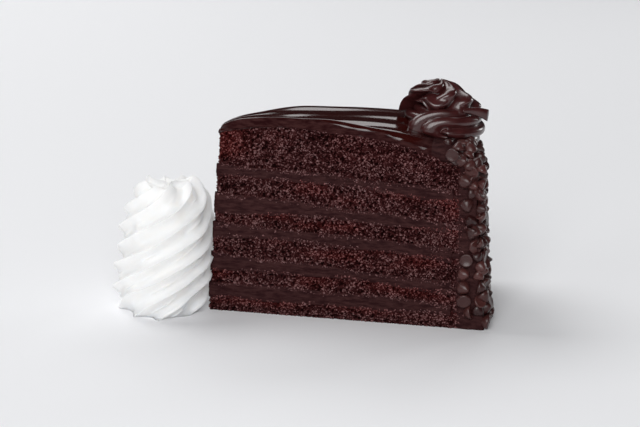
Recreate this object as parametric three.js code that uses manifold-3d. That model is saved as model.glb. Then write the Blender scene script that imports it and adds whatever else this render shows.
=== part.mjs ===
// A slice of layered chocolate cake with a swirl of whipped cream piped against its point.
// Millimetres, +Z up. The slice stands on z = 0, its middle line lies on the X axis with the point
// towards -X, and the origin is on the bottom sponge. Cakes are worked out about the axis of the
// whole round cake, which passes through the point, and moved to the origin at the end.
import * as THREE from "three";
import Module from "manifold-3d";

// The round cake and the slice cut from it
const CRUMB_RADIUS = 114; // sponge, from the cake's centre to its baked rim
const SLICE_ANGLE = THREE.MathUtils.degToRad(32);
const HALF_ANGLE = SLICE_ANGLE / 2;
const ORIGIN_RADIUS = 70; // distance of the part's origin from the cake's centre
const POINT_RADIUS = 1.6; // the point is blunt
const POINT_LEAN = 7; // and its edge leans back this far at the height below
const POINT_HEIGHT = 87;
const FILLING_BULGE = 0.9; // fillings squeeze out past the sponges at the point
const GAP = 0.3; // between pieces that touch

// Layers from the plate up, each with its thickness at three distances from the cake's centre
const STATIONS = [17, 65, 100];
const LAYERS = [
  { name: "sponge_1", thickness: [7.2, 6.9, 6.5] },
  { name: "filling_1", thickness: [5.6, 4.8, 4.0] },
  { name: "sponge_2", thickness: [7.7, 8.3, 7.3] },
  { name: "filling_2", thickness: [5.5, 3.2, 3.6] },
  { name: "sponge_3", thickness: [10.3, 12.4, 11.6] },
  { name: "filling_3", thickness: [4.5, 3.4, 4.2] },
  { name: "sponge_4", thickness: [7.3, 8.8, 8.5] },
  { name: "filling_4", thickness: [6.6, 3.8, 3.2] },
  { name: "sponge_5", thickness: [10.1, 11.7, 11.3] },
  { name: "filling_5", thickness: [3.4, 3.1, 3.8] },
  { name: "sponge_6", thickness: [18.2, 20.6, 16.2] },
];
const LAYER_WOBBLE = 0.35; // how far a boundary wanders up and down
const WOBBLE_LENGTH = 9; // distance along the radius in which it turns by one radian
const WOBBLE_TURNS = 18; // radians of wander per radian across the slice
const WOBBLE_SKEW = 23; // and the distance along the radius that shifts it by one
const WOBBLE_SHARE = 0.6; // the wander across, as a share of the wander along
const WOBBLE_SHIFTS = [2.1, 1.3]; // from one boundary to the next, along and across
const LAYER_STEPS = [8, 3]; // cells along the radius and across the angle

// Poured glaze on the top sponge, combed into a few long ridges that run to the rosette
const GLAZE_THICKNESS = [4.8, 4.6, 6.3]; // at the stations
const GLAZE_NOSE = 2.4; // how far it thins over the point
const GLAZE_NOSE_LENGTH = 14;
const RIDGE_HEIGHT = 0.75;
const RIDGE_SPACING = 13;
const RIDGE_SKEW = 0.13; // sideways run of a ridge, as a share of its length
const RIDGE_MIDDLE = 60; // radius where that is nothing
const RIDGE_OFFSET = 1;
const RIDGE_RISE = [24, 54]; // radii between which the ridges rise
const RIM_DIP = 1.4; // the top falls this far towards the near cut at the rim, and rises behind
const RIM_DIP_SPAN = [78, 108];
const NEAR_DIP = 1.2; // its near edge sags
const NEAR_DIP_SPAN = [55, 95];
const FAR_DIP = 0.9; // and so does its far side over the point
const FAR_DIP_SPAN = [25, 50];
const FAR_DIP_START = -0.7; // from this share of the half angle
const GLAZE_STEPS = [13, 12];

// Side coat: frosting on the rim, pressed full of chocolate chips, that rolls over the top edge
const COAT_INNER = CRUMB_RADIUS + GAP;
const COAT_OUTER = 124.3;
const COAT_FLARE = 4.8; // its foot stands out this much further
const COAT_FLARE_CURVE = 1.5;
const LIP_RADIUS = 104; // where the coat's lip meets the glaze
const SHOULDER_HEIGHT = 66; // where the wall starts to roll over
const SHOULDER_POWER = 0.85; // below 1 is squarer than an ellipse
const COAT_STEPS = 12; // cells up the coat's section
const COAT_BEND = 0.5; // share of them on the wall
const COAT_ANGLE_STEPS = 8;
const BED_INSET = 1; // the rosette sinks this far into glaze and coat
const BED_REACH = 30; // from the rosette's middle towards the point
const BED_DEPTH = 20; // below the shoulder
const BED_STEPS = [12, 8];

// Chocolate chips: drops with a flat round base
const CHIP_RADIUS = 3.25;
const CHIP_HEIGHT = 4.4;
const CHIP_WAIST = 0.66; // radius at the waist, as a share of the base
const CHIP_WAIST_HEIGHT = 0.55; // as a share of the chip's height
const CHIP_CENTRE = 0.4;
const CHIP_SIDES = 5;
const CHIP_PITCH = 6.8; // spacing across the wall
const CHIP_ROW_PITCH = 6.1; // and up it
const CHIP_TOP_RADIUS = 117; // no rows further in over the shoulder
const CUT_EDGE_RADIUS = 121.8; // a column of chips shows at each cut edge
const CHIP_STAND = 1.3; // chip centre outside the coat's wall
const CHIP_SCATTER = 1.1;
const CHIP_SIZES = [0.92, 1.08];
const SMALL_CHIP_SIZES = [0.7, 1];
const ROW_SHIFT = 0.25; // rows are shifted to and fro by this share of the spacing
const CHIP_TURN = 1.7; // how wildly the chips lie
const CHIP_FLIPPED = 0.45; // share with the tip inwards
const CHIP_UPRIGHT = [62, 82]; // heights over which the chips turn from outwards to upwards
const CHIP_UP_RIM = 1.02;
const CUT_LEAN = 1.6; // chips at a cut lean out of it
const CUT_LEAN_REACH = 4; // within this distance
const CUT_LEAN_RADII = [120, 127]; // and less from the first of these radii to the second
const CHIP_ROOM = 1.12; // a chip this much larger still clears the other pieces
const CUT_CHIP_LEVELS = 11; // small chips in a column down each cut
const CUT_CHIP_BOTTOM = 3.2;
const CUT_CHIP_PITCH = 6.4;
const CUT_CHIP_RADIUS = [123.5, 127.2];
const SHOULDER_CHIPS = 5; // and round each shoulder's cut edge
const SHOULDER_CHIP_SPAN = [0.52, 0.86]; // as shares of the coat's section
const SHOULDER_CHIP_INSET = [1, 2]; // inwards and down
const SMALL_CHIP_SEED = 500;

// Piped rosette over the rim: a rope with round lobes starts at the front left, where it turns over
// on itself, runs once round under a twisted dome, and ends in a tail
const ROSETTE_RADIUS = 110; // its centre from the cake's centre
const ROSETTE_BASE = 80; // height of its underside
const ROSETTE_HEIGHT = 27; // from its underside to its tip
const ROSETTE_TILT = THREE.MathUtils.degToRad(6); // down towards the rim
const ROPE_LOBES = 8;
const ROPE_CREST = 1.12; // as shares of the rope's radius
const ROPE_CREASE = 0.82;
const ROPE_PHASE = 0.25;
const ROPE_TWIST = 0.012; // radians of twist per millimetre
const ROPE_RADIUS = 8.1;
const ROPE_THINNING = 0.1; // share of the radius lost under the dome
const ROPE_THINNING_SPAN = [30, 62];
const ROPE_HEIGHT = 6.6; // of its middle line
const COIL_RADIUS = 10.4;
const COIL_END_RADIUS = 6.5;
const COIL_DRAW_IN = [3.8, 5.8]; // headings between which it draws in
const COIL_LENGTH = 62;
const COIL_STRETCHES = 6;
const STRETCH_STEPS = 3;
const START_PIVOT = [-1, 5.9]; // x and height of the line about which the start turns over
const START_STRETCH = 1.75; // it is drawn out towards the point
const START_SQUASH = 0.6; // and flattened below
const START_SIDES = 12;
const DOME_LOBES = 7;
const DOME_CREST = 1.144;
const DOME_CREASE = 0.784;
const DOME_RADIUS = 16.3;
const DOME_ROUNDNESS = [2.2, 0.68]; // exponents of its section
const DOME_TWIST = [1, 0.7]; // even, and more near the tip
const DOME_ROWS = 8;
const DOME_BASE = 9; // height of its lower edge, behind
const DOME_FRONT_LIFT = 2.5; // higher in front, over the rope
const DOME_FRONT_SPAN = [-0.2, 0.6]; // sines of the angle between which it rises
const DOME_HOLLOW = 7; // and higher still at the hollow
const DOME_HOLLOW_ANGLE = THREE.MathUtils.degToRad(221);
const DOME_HOLLOW_REACH = [0.3, 0.75];
const DOME_FLATTEN = 0.8; // the foot is this much narrower in depth
const DOME_FLATTEN_END = 0.7; // share of the height where that ends
const DOME_FOOT = [-1.5, 3.5, 14]; // middle of its underside
const DOME_TIP = [-4.2, 0, 26.4];
const DOME_NOTCH = 1.3; // creases cut this deep near the tip
const DOME_NOTCH_SPAN = [0.6, 0.9];
const TAIL_START = [9.5, -8.5, 15];
const TAIL_END = [18, -6.5, 13.7];
const TAIL_HALF_WIDTH = [0.7, 1.2];
const TAIL_HALF_HEIGHT = [0.6, 2.3];
const TAIL_ARCH = 0.8;
const TAIL_SIDES = 8;

// Whipped cream: a fluted column piped with one slow turn, leaning against the point
const CREAM_CENTRE = [-20.3, 5.3];
const CREAM_HEIGHT = 60.5;
const CREAM_CROWDING = 1.6; // how much closer the rows lie near the top
const CREAM_BELLY = 23.6; // crest radius at its widest
const CREAM_BELLY_HEIGHT = 16;
const CREAM_FOOT = 19.5; // crest radius on the plate
const CREAM_TAPER = 0.15; // share of the radius lost towards the shoulder
const CREAM_DOME = [6, 0.4]; // exponents: the higher the first, the squarer its shoulder
const CREAM_LEAN = 4.4; // the top leans towards the cake
const CREAM_LEAN_HEIGHT = 55;
const CREAM_LOBES = 8;
const CREAM_FLUTE = 0.16; // flute depth as a share of the radius
const CREAM_PITCH = 75; // height in which a crest goes once round
const CREST_LIFT = 1.4; // crests stand up by this
const CREST_LIFT_HEIGHT = 10;
const CROWN_LIFT = 3.6; // and by this more round the top
const CROWN_SPAN = [48, 58];
const TOP_HOLLOW = 3.5; // inside the crown the top sinks
const TOP_HOLLOW_SPAN = [58.5, 60.5];
const CREAM_ROWS = 21;
const POINT_ROOM_REACH = 45; // the room kept for the slice's point runs this far into the cake
const POINT_ROOM_MARGIN = 10; // and this far below and above it

const COLOURS = {
  sponge: { color: 0x3a2022, roughness: 0.95 },
  filling: { color: 0x33201f, roughness: 0.7 },
  glaze: { color: 0x2a1514, roughness: 0.15 },
  chips: { color: 0x3d2726, roughness: 0.4 },
  rosette: { color: 0x36201f, roughness: 0.3 },
  cream: { color: 0xf1f1f0, roughness: 0.6 },
};

const wasm = await Module();
wasm.setup();

const { lerp, smoothstep } = THREE.MathUtils;

// A repeatable random number from 0 to 1 for item i and use k.
function random(i, k) {
  const x = Math.sin(i * 12.9898 + k * 78.233 + 4.1) * 43758.5453;
  return x - Math.floor(x);
}

// The parabola through a value at each of the three stations.
function atRadius(values, r) {
  const [a, b, c] = STATIONS;
  return (
    (values[0] * (r - b) * (r - c)) / ((a - b) * (a - c)) +
    (values[1] * (r - a) * (r - c)) / ((b - a) * (b - c)) +
    (values[2] * (r - a) * (r - b)) / ((c - a) * (c - b))
  );
}

// Height of the boundary above layer number count, counted from the plate, with a slow wander.
function boundary(count, r, angle) {
  if (count === 0) return 0;
  let z = 0;
  for (let i = 0; i < count; i += 1) z += atRadius(LAYERS[i].thickness, r);
  const along = Math.sin(r / WOBBLE_LENGTH + WOBBLE_SHIFTS[0] * count);
  const across = Math.sin(angle * WOBBLE_TURNS + WOBBLE_SHIFTS[1] * count + r / WOBBLE_SKEW);
  return z + LAYER_WOBBLE * (along + WOBBLE_SHARE * across);
}

function crumbTop(r, angle) {
  return boundary(LAYERS.length, r, angle);
}

// Radius at which the slice begins at a height: the point's edge leans back as it rises.
function pointRadius(z) {
  return POINT_RADIUS + (POINT_LEAN * z) / POINT_HEIGHT;
}

function onCake(r, angle, z) {
  return [r * Math.cos(angle), r * Math.sin(angle), z];
}

function indexed(positions, index) {
  const geometry = new THREE.BufferGeometry();
  geometry.setAttribute("position", new THREE.Float32BufferAttribute(positions, 3));
  geometry.setIndex(index);
  return geometry;
}

// A closed block between a lower and an upper surface, each a function of u and v from 0 to 1.
function block(lower, upper, [stepsU, stepsV]) {
  const positions = [];
  const index = [];
  const row = stepsV + 1;
  const sheet = (stepsU + 1) * row;
  for (const surface of [lower, upper])
    for (let i = 0; i <= stepsU; i += 1)
      for (let j = 0; j <= stepsV; j += 1) positions.push(...surface(i / stepsU, j / stepsV));
  const at = (side, i, j) => side * sheet + i * row + j;
  const quad = (a, b, c, d) => index.push(a, b, c, a, c, d);
  for (let i = 0; i < stepsU; i += 1) {
    for (let j = 0; j < stepsV; j += 1) {
      quad(at(1, i, j), at(1, i + 1, j), at(1, i + 1, j + 1), at(1, i, j + 1));
      quad(at(0, i, j), at(0, i, j + 1), at(0, i + 1, j + 1), at(0, i + 1, j));
    }
    quad(at(0, i, 0), at(0, i + 1, 0), at(1, i + 1, 0), at(1, i, 0));
    quad(at(0, i, stepsV), at(1, i, stepsV), at(1, i + 1, stepsV), at(0, i + 1, stepsV));
  }
  for (let j = 0; j < stepsV; j += 1) {
    quad(at(0, 0, j), at(1, 0, j), at(1, 0, j + 1), at(0, 0, j + 1));
    quad(at(0, stepsU, j), at(0, stepsU, j + 1), at(1, stepsU, j + 1), at(1, stepsU, j));
  }
  return indexed(positions, index);
}

// A closed skin over a row of rings with equal point counts, and a point that closes each end.
function skin(start, rings, end) {
  const count = rings[0].length;
  const positions = [...start, ...rings.flat(2), ...end];
  const last = 1 + rings.length * count;
  const at = (ring, j) => 1 + ring * count + (j % count);
  const index = [];
  for (let j = 0; j < count; j += 1) {
    index.push(0, at(0, j + 1), at(0, j));
    for (let i = 0; i + 1 < rings.length; i += 1) {
      index.push(at(i, j), at(i, j + 1), at(i + 1, j));
      index.push(at(i, j + 1), at(i + 1, j + 1), at(i + 1, j));
    }
    index.push(last, at(rings.length - 1, j), at(rings.length - 1, j + 1));
  }
  return indexed(positions, index);
}

function solid(geometry) {
  const mesh = new wasm.Mesh({
    numProp: 3,
    vertProperties: geometry.getAttribute("position").array,
    triVerts: new Uint32Array(geometry.index.array),
  });
  return new wasm.Manifold(mesh);
}

function geometryOf(manifold) {
  const mesh = manifold.getMesh();
  return indexed(Array.from(mesh.vertProperties), Array.from(mesh.triVerts));
}

// The largest shell of a joined solid: this fills what joining sealed and drops loose scraps.
function outerShell(manifold) {
  return manifold.decompose().reduce((best, one) => (one.volume() > best.volume() ? one : best));
}

function layerBlock(number) {
  const bulge = LAYERS[number].name.startsWith("filling") ? FILLING_BULGE : 0;
  const face = (count, offset) => (u, v) => {
    const angle = lerp(-HALF_ANGLE, HALF_ANGLE, v);
    const guess = boundary(count, lerp(0, CRUMB_RADIUS, u), angle);
    const r = lerp(pointRadius(guess) - bulge, CRUMB_RADIUS, u);
    return onCake(r, angle, boundary(count, r, angle) + (count ? offset : 0));
  };
  return block(face(number, GAP / 2), face(number + 1, -GAP / 2), LAYER_STEPS);
}

// Ridges across the glaze: a cosine over the distance from a line a little askew.
function glazeRidge(r, angle) {
  const line = RIDGE_SKEW * (r * Math.cos(angle) - RIDGE_MIDDLE) - RIDGE_OFFSET;
  const wave = 0.5 + 0.5 * Math.cos((2 * Math.PI * (r * Math.sin(angle) - line)) / RIDGE_SPACING);
  return RIDGE_HEIGHT * smoothstep(r, ...RIDGE_RISE) * wave;
}

function glazeTop(r, angle) {
  const share = angle / HALF_ANGLE;
  const nose = Math.max(0, 1 - (r - pointRadius(POINT_HEIGHT)) / GLAZE_NOSE_LENGTH);
  const thickness = atRadius(GLAZE_THICKNESS, r) - GLAZE_NOSE * nose ** 3;
  const dip = RIM_DIP * share * smoothstep(r, ...RIM_DIP_SPAN);
  const near = NEAR_DIP * smoothstep(-share, 0, 1) * smoothstep(r, ...NEAR_DIP_SPAN);
  const far = FAR_DIP * smoothstep(share, FAR_DIP_START, 1) * (1 - smoothstep(r, ...FAR_DIP_SPAN));
  return crumbTop(r, angle) + thickness + dip - near - far + glazeRidge(r, angle);
}

function glazeBlock() {
  const face = (height) => (u, v) => {
    const angle = lerp(-HALF_ANGLE, HALF_ANGLE, v);
    const r = lerp(pointRadius(POINT_HEIGHT), LIP_RADIUS - GAP, u);
    return onCake(r, angle, height(r, angle));
  };
  const underside = (r, angle) => crumbTop(r, angle) + GAP / 2;
  return block(face(underside), face(glazeTop), GLAZE_STEPS);
}

// The coat's section at a share u of its steps, as [r, z]: up the wall, then round the shoulder and
// back over the top to the glaze.
function coatSection(u, angle) {
  if (u <= COAT_BEND) {
    const share = u / COAT_BEND;
    return [COAT_OUTER + COAT_FLARE * (1 - share) ** COAT_FLARE_CURVE, SHOULDER_HEIGHT * share];
  }
  const turn = ((u - COAT_BEND) / (1 - COAT_BEND)) * (Math.PI / 2);
  const across = Math.max(0, Math.cos(turn)) ** SHOULDER_POWER;
  const up = Math.sin(turn) ** SHOULDER_POWER;
  const top = glazeTop(LIP_RADIUS, angle);
  return [lerp(LIP_RADIUS, COAT_OUTER, across), lerp(SHOULDER_HEIGHT, top, up)];
}

// The section runs upwards with the angle across it, so its inner side is the block's upper surface.
function coatBlock() {
  const angleAt = (v) => lerp(-HALF_ANGLE, HALF_ANGLE, v);
  const outer = (u, v) => {
    const [r, z] = coatSection(u, angleAt(v));
    return onCake(r, angleAt(v), z);
  };
  const inner = (u, v) => {
    const angle = angleAt(v);
    const corner = crumbTop(COAT_INNER, angle) + GAP / 2;
    if (u <= COAT_BEND) return onCake(COAT_INNER, angle, (corner * u) / COAT_BEND);
    const r = lerp(COAT_INNER, LIP_RADIUS, (u - COAT_BEND) / (1 - COAT_BEND));
    return onCake(r, angle, crumbTop(r, angle) + GAP / 2);
  };
  return block(outer, inner, [COAT_STEPS, COAT_ANGLE_STEPS]);
}

// The room under the rosette: down from just below the top of the glaze and the coat's shoulder.
function bedBlock() {
  const height = (r, angle) => {
    if (r <= LIP_RADIUS) return glazeTop(r, angle);
    const turn = Math.acos(((r - LIP_RADIUS) / (COAT_OUTER - LIP_RADIUS)) ** (1 / SHOULDER_POWER));
    return lerp(SHOULDER_HEIGHT, glazeTop(LIP_RADIUS, angle), Math.sin(turn) ** SHOULDER_POWER);
  };
  const face = (surface) => (u, v) => {
    const angle = lerp(-HALF_ANGLE, HALF_ANGLE, v);
    const r = lerp(ROSETTE_RADIUS - BED_REACH, COAT_OUTER, u);
    return onCake(r, angle, surface(r, angle));
  };
  const bottom = () => SHOULDER_HEIGHT - BED_DEPTH;
  return block(face(bottom), face((r, a) => height(r, a) - BED_INSET), BED_STEPS);
}

// All the crumb as one block, without its layers.
function crumbBlock() {
  const face = (height) => (u, v) => {
    const angle = lerp(-HALF_ANGLE, HALF_ANGLE, v);
    const r = lerp(POINT_RADIUS, CRUMB_RADIUS, u);
    return onCake(r, angle, height(r, angle));
  };
  return block(face(() => 0), face(crumbTop), LAYER_STEPS);
}

function circle(radius, z, sides) {
  const point = (j) => onCake(radius, (2 * Math.PI * j) / sides, z);
  return Array.from({ length: sides }, (_, j) => point(j));
}

// One chip about its own centre, base down.
function chipGeometry() {
  const base = -CHIP_CENTRE * CHIP_HEIGHT;
  const rings = [
    circle(CHIP_RADIUS, base, CHIP_SIDES),
    circle(CHIP_WAIST * CHIP_RADIUS, base + CHIP_WAIST_HEIGHT * CHIP_HEIGHT, CHIP_SIDES),
  ];
  return skin([0, 0, base], rings, [0, 0, base + CHIP_HEIGHT]);
}

// Rows of chips at an even pitch along the coat's section, as [r, z] just outside it.
function chipRows() {
  const rows = [];
  const samples = 400;
  let walked = CHIP_ROW_PITCH - CHIP_RADIUS;
  for (let i = 1; i <= samples; i += 1) {
    const [r0, z0] = coatSection((i - 1) / samples, 0);
    const [r1, z1] = coatSection(i / samples, 0);
    const length = Math.hypot(r1 - r0, z1 - z0);
    walked += length;
    if (walked < CHIP_ROW_PITCH) continue;
    walked -= CHIP_ROW_PITCH;
    const out = CHIP_STAND / length;
    rows.push([r1 + out * (z1 - z0), z1 - out * (r1 - r0)]);
  }
  return rows.filter(([r]) => r > CHIP_TOP_RADIUS);
}

// Chips over the wall and the shoulder, and small ones down the cut edges, as places with a size.
function chipPlaces() {
  const places = [];
  const add = (r, angle, z) => {
    const seed = places.length + 1;
    const scatter = (k) => CHIP_SCATTER * (random(seed, k) - 0.5);
    const size = lerp(...CHIP_SIZES, random(seed, 7));
    places.push({ r: r + scatter(1), angle: angle + (2 * scatter(2)) / r, z: z + scatter(3), size, seed });
  };
  chipRows().forEach(([r, z], row) => {
    const columns = Math.round((r * SLICE_ANGLE) / CHIP_PITCH);
    for (let j = 0; j < columns; j += 1) {
      const across = (j + 0.5 + (row % 2 ? ROW_SHIFT : -ROW_SHIFT)) / columns;
      add(r, lerp(-HALF_ANGLE, HALF_ANGLE, across), z);
    }
    if (r < COAT_OUTER) return;
    for (const side of [-1, 1]) {
      add(CUT_EDGE_RADIUS, side * HALF_ANGLE, z + ROW_SHIFT * side * CHIP_ROW_PITCH);
    }
  });
  const addSmall = (r, side, z) => {
    const seed = SMALL_CHIP_SEED + places.length;
    const scatter = (k) => 2 * CHIP_SCATTER * (random(seed, k) - 0.5);
    const size = lerp(...SMALL_CHIP_SIZES, random(seed, 7));
    places.push({ r: r + scatter(1), angle: side * HALF_ANGLE, z: z + scatter(3), size, seed });
  };
  for (const side of [-1, 1]) {
    for (let i = 0; i < CUT_CHIP_LEVELS; i += 1) {
      const r = lerp(...CUT_CHIP_RADIUS, random(i, side + 2));
      addSmall(r, side, CUT_CHIP_BOTTOM + i * CUT_CHIP_PITCH);
    }
    for (let i = 0; i < SHOULDER_CHIPS; i += 1) {
      const u = lerp(...SHOULDER_CHIP_SPAN, i / (SHOULDER_CHIPS - 1));
      const [r, z] = coatSection(u, side * HALF_ANGLE);
      addSmall(r - SHOULDER_CHIP_INSET[0], side, z - SHOULDER_CHIP_INSET[1]);
    }
  }
  return places;
}

// Direction out of the coat: radial on the wall, up on the shoulder, sideways at a cut.
function outward({ r, angle, z }) {
  const fromCut = r * (HALF_ANGLE - Math.abs(angle));
  const close = smoothstep(-fromCut, -CUT_LEAN_REACH, 0) * (1 - smoothstep(r, ...CUT_LEAN_RADII));
  const side = CUT_LEAN * Math.sign(angle) * close;
  const up = smoothstep(z, ...CHIP_UPRIGHT);
  const across = new THREE.Vector3(...onCake(CHIP_UP_RIM - up, angle, 0));
  return across.add(new THREE.Vector3(-side * Math.sin(angle), side * Math.cos(angle), up)).normalize();
}

// The chip laid with its tip or its base outwards, more or less.
function placedChip(chip, place) {
  const { r, angle, z, size, seed } = place;
  const wild = new THREE.Vector3(...[4, 5, 6].map((k) => random(seed, k) - 0.5));
  const flip = random(seed, 9) < CHIP_FLIPPED ? -1 : 1;
  const axis = outward(place).multiplyScalar(flip).addScaledVector(wild, CHIP_TURN).normalize();
  const first = new THREE.Vector3().crossVectors(axis, new THREE.Vector3(wild.z, wild.y, 1)).normalize();
  const second = new THREE.Vector3().crossVectors(axis, first);
  const matrix = new THREE.Matrix4().makeBasis(first, second, axis);
  matrix.scale(new THREE.Vector3(size, size, size));
  matrix.setPosition(...onCake(r, angle, z));
  return solid(chip.clone().applyMatrix4(matrix));
}

// The core with every chip that stays clear of the pieces in the list of others.
function coatWithChips(core, others) {
  const chip = chipGeometry();
  let coat = core;
  for (const place of chipPlaces()) {
    const one = placedChip(chip, place);
    const [x, y, z] = onCake(place.r, place.angle, place.z);
    const roomy = one.translate([-x, -y, -z]).scale(CHIP_ROOM).translate([x, y, z]);
    const low = one.boundingBox().min[2] < 0;
    const crowded = low || others.some((other) => roomy.intersect(other).volume() > 0);
    if (!crowded) coat = coat.add(one);
  }
  return outerShell(coat);
}

// The rope's middle at a distance s along it, which runs round the coil and draws in near its end.
function coilPoint(s) {
  const heading = s / COIL_RADIUS;
  const radius = lerp(COIL_RADIUS, COIL_END_RADIUS, smoothstep(heading, ...COIL_DRAW_IN));
  const x = START_PIVOT[0] + radius * Math.sin(heading);
  return new THREE.Vector3(x, -radius * Math.cos(heading), ROPE_HEIGHT);
}

// Distance from the rope's middle to its skin at point j of the star, which is a crest if j is odd.
function ropeRadius(s, j) {
  const share = 1 - ROPE_THINNING * smoothstep(s, ...ROPE_THINNING_SPAN);
  return ROPE_RADIUS * share * (j % 2 ? ROPE_CREST : ROPE_CREASE);
}

// A stretch of the rope as a skin of star rings square to its heading.
function ropeStretch(from, to) {
  const points = 2 * ROPE_LOBES;
  const ringAt = (s) => {
    const heading = s / COIL_RADIUS;
    const side = new THREE.Vector3(-Math.sin(heading), Math.cos(heading), 0);
    return Array.from({ length: points }, (_, j) => {
      const a = (2 * Math.PI * j) / points - ROPE_PHASE - ROPE_TWIST * s;
      const p = coilPoint(s).addScaledVector(side, ropeRadius(s, j) * Math.cos(a));
      return [p.x, p.y, p.z + ropeRadius(s, j) * Math.sin(a)];
    });
  };
  const stations = Array.from({ length: STRETCH_STEPS + 1 }, (_, i) => lerp(from, to, i / STRETCH_STEPS));
  return solid(skin(coilPoint(from).toArray(), stations.map(ringAt), coilPoint(to).toArray()));
}

// The rope's start: the upper half of its star turned about the pivot, drawn out and flattened.
function ropeStart() {
  const lift = ROPE_HEIGHT - START_PIVOT[1];
  const ringAt = (j) => {
    const a = (Math.PI * j) / ROPE_LOBES - ROPE_PHASE;
    const radius = lift + ropeRadius(0, j) * Math.sin(a);
    const y = -COIL_RADIUS + ropeRadius(0, j) * Math.cos(a);
    return Array.from({ length: START_SIDES }, (_, i) => {
      const turn = (2 * Math.PI * i) / START_SIDES;
      const x = radius * Math.cos(turn);
      const z = radius * Math.sin(turn);
      const drawn = x < 0 ? START_STRETCH * x : x;
      return [START_PIVOT[0] + drawn, y, START_PIVOT[1] + (z < 0 ? START_SQUASH * z : z)];
    });
  };
  const rings = Array.from({ length: ROPE_LOBES }, (_, i) => ringAt(i + 1));
  const end = (y) => [START_PIVOT[0], y, START_PIVOT[1]];
  const half = ROPE_RADIUS * ROPE_CREASE;
  return solid(skin(end(-COIL_RADIUS + half), rings, end(-COIL_RADIUS - half)));
}

// The fluted dome over the coil, twisting as it rises. Its lower edge is notched by the hollow.
function rosetteDome() {
  const points = 2 * DOME_LOBES;
  const ringAt = (t) => {
    const radius = DOME_RADIUS * (1 - t ** DOME_ROUNDNESS[0]) ** DOME_ROUNDNESS[1];
    return Array.from({ length: points }, (_, j) => {
      const length = radius * (j % 2 ? DOME_CREST : DOME_CREASE);
      const spin = (2 * Math.PI * j) / points + DOME_TWIST[0] * t + DOME_TWIST[1] * t ** 4;
      const fromHollow = Math.acos(Math.cos(spin - DOME_HOLLOW_ANGLE));
      const front = DOME_FRONT_LIFT * smoothstep(-Math.sin(spin), ...DOME_FRONT_SPAN);
      const base = DOME_BASE + front + DOME_HOLLOW * (1 - smoothstep(fromHollow, ...DOME_HOLLOW_REACH));
      const notch = j % 2 ? 0 : DOME_NOTCH * smoothstep(t, ...DOME_NOTCH_SPAN);
      const x = length * Math.cos(spin) + lerp(DOME_FOOT[0], DOME_TIP[0], t ** 2);
      const y = length * Math.sin(spin) * lerp(DOME_FLATTEN, 1, smoothstep(t, 0, DOME_FLATTEN_END));
      return [x, y + lerp(DOME_FOOT[1], DOME_TIP[1], t), lerp(base, ROSETTE_HEIGHT, t) - notch];
    });
  };
  const rings = Array.from({ length: DOME_ROWS }, (_, i) => ringAt(i / DOME_ROWS));
  return solid(skin(DOME_FOOT, rings, DOME_TIP));
}

// The flat tail where the nozzle was pulled away to the rim.
function rosetteTail() {
  const ringAt = (t) =>
    Array.from({ length: TAIL_SIDES }, (_, j) => {
      const a = (2 * Math.PI * j) / TAIL_SIDES;
      const [x, y, z] = new THREE.Vector3(...TAIL_START).lerp(new THREE.Vector3(...TAIL_END), t).toArray();
      const high = lerp(...TAIL_HALF_HEIGHT, t) * Math.sin(a) + TAIL_ARCH * Math.sin(Math.PI * t);
      return [x, y + lerp(...TAIL_HALF_WIDTH, t) * Math.cos(a), z + high];
    });
  return solid(skin(TAIL_START, [0, 0.5, 1].map(ringAt), TAIL_END));
}

// The rosette about its own centre, with its rope in stretches that share their end rings.
function rosetteSolid() {
  const stretch = COIL_LENGTH / COIL_STRETCHES;
  let joined = rosetteDome().add(ropeStart()).add(rosetteTail());
  for (let i = 0; i < COIL_STRETCHES; i += 1) {
    joined = joined.add(ropeStretch(i * stretch, (i + 1) * stretch));
  }
  return outerShell(joined);
}

function creamRing(row) {
  const t = row / CREAM_ROWS;
  const z = CREAM_HEIGHT * (1 - (1 - t) ** CREAM_CROWDING);
  const high = Math.max(0, (z - CREAM_BELLY_HEIGHT) / (CREAM_HEIGHT - CREAM_BELLY_HEIGHT));
  const low = Math.max(0, 1 - z / CREAM_BELLY_HEIGHT);
  const dome = (1 - CREAM_TAPER * high) * (1 - high ** CREAM_DOME[0]) ** CREAM_DOME[1];
  const radius = CREAM_BELLY * dome - (CREAM_BELLY - CREAM_FOOT) * low ** 2;
  const lean = CREAM_LEAN * smoothstep(z, 0, CREAM_LEAN_HEIGHT);
  const lift = CREST_LIFT * smoothstep(z, 0, CREST_LIFT_HEIGHT) + CROWN_LIFT * smoothstep(z, ...CROWN_SPAN);
  const sunk = z - TOP_HOLLOW * smoothstep(z, ...TOP_HOLLOW_SPAN);
  const points = 3 * CREAM_LOBES;
  return Array.from({ length: points }, (_, j) => {
    const crest = j % 3 === 0;
    const angle = 2 * Math.PI * (j / points + z / CREAM_PITCH);
    const length = radius * (crest ? 1 : 1 - CREAM_FLUTE);
    const x = CREAM_CENTRE[0] + lean + length * Math.cos(angle);
    return [x, CREAM_CENTRE[1] + length * Math.sin(angle), crest ? sunk + lift : sunk];
  });
}

function creamSolid() {
  const rings = Array.from({ length: CREAM_ROWS }, (_, row) => creamRing(row));
  const foot = [...CREAM_CENTRE, 0];
  const top = [CREAM_CENTRE[0] + CREAM_LEAN + 1, CREAM_CENTRE[1], CREAM_HEIGHT - TOP_HOLLOW];
  return solid(skin(foot, rings, top));
}

// The room that the slice's point takes up, a gap larger all round.
function pointRoom() {
  const face = (z) => (u, v) => {
    const x = lerp(pointRadius(z) - FILLING_BULGE - GAP, POINT_ROOM_REACH, u);
    const half = Math.tan(HALF_ANGLE) * (x + FILLING_BULGE + GAP) + GAP;
    return [x, lerp(-half, half, v), z];
  };
  return solid(block(face(-POINT_ROOM_MARGIN), face(POINT_HEIGHT + POINT_ROOM_MARGIN), [1, 1]));
}

const slice = new THREE.Group();
slice.position.x = -ORIGIN_RADIUS;

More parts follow.
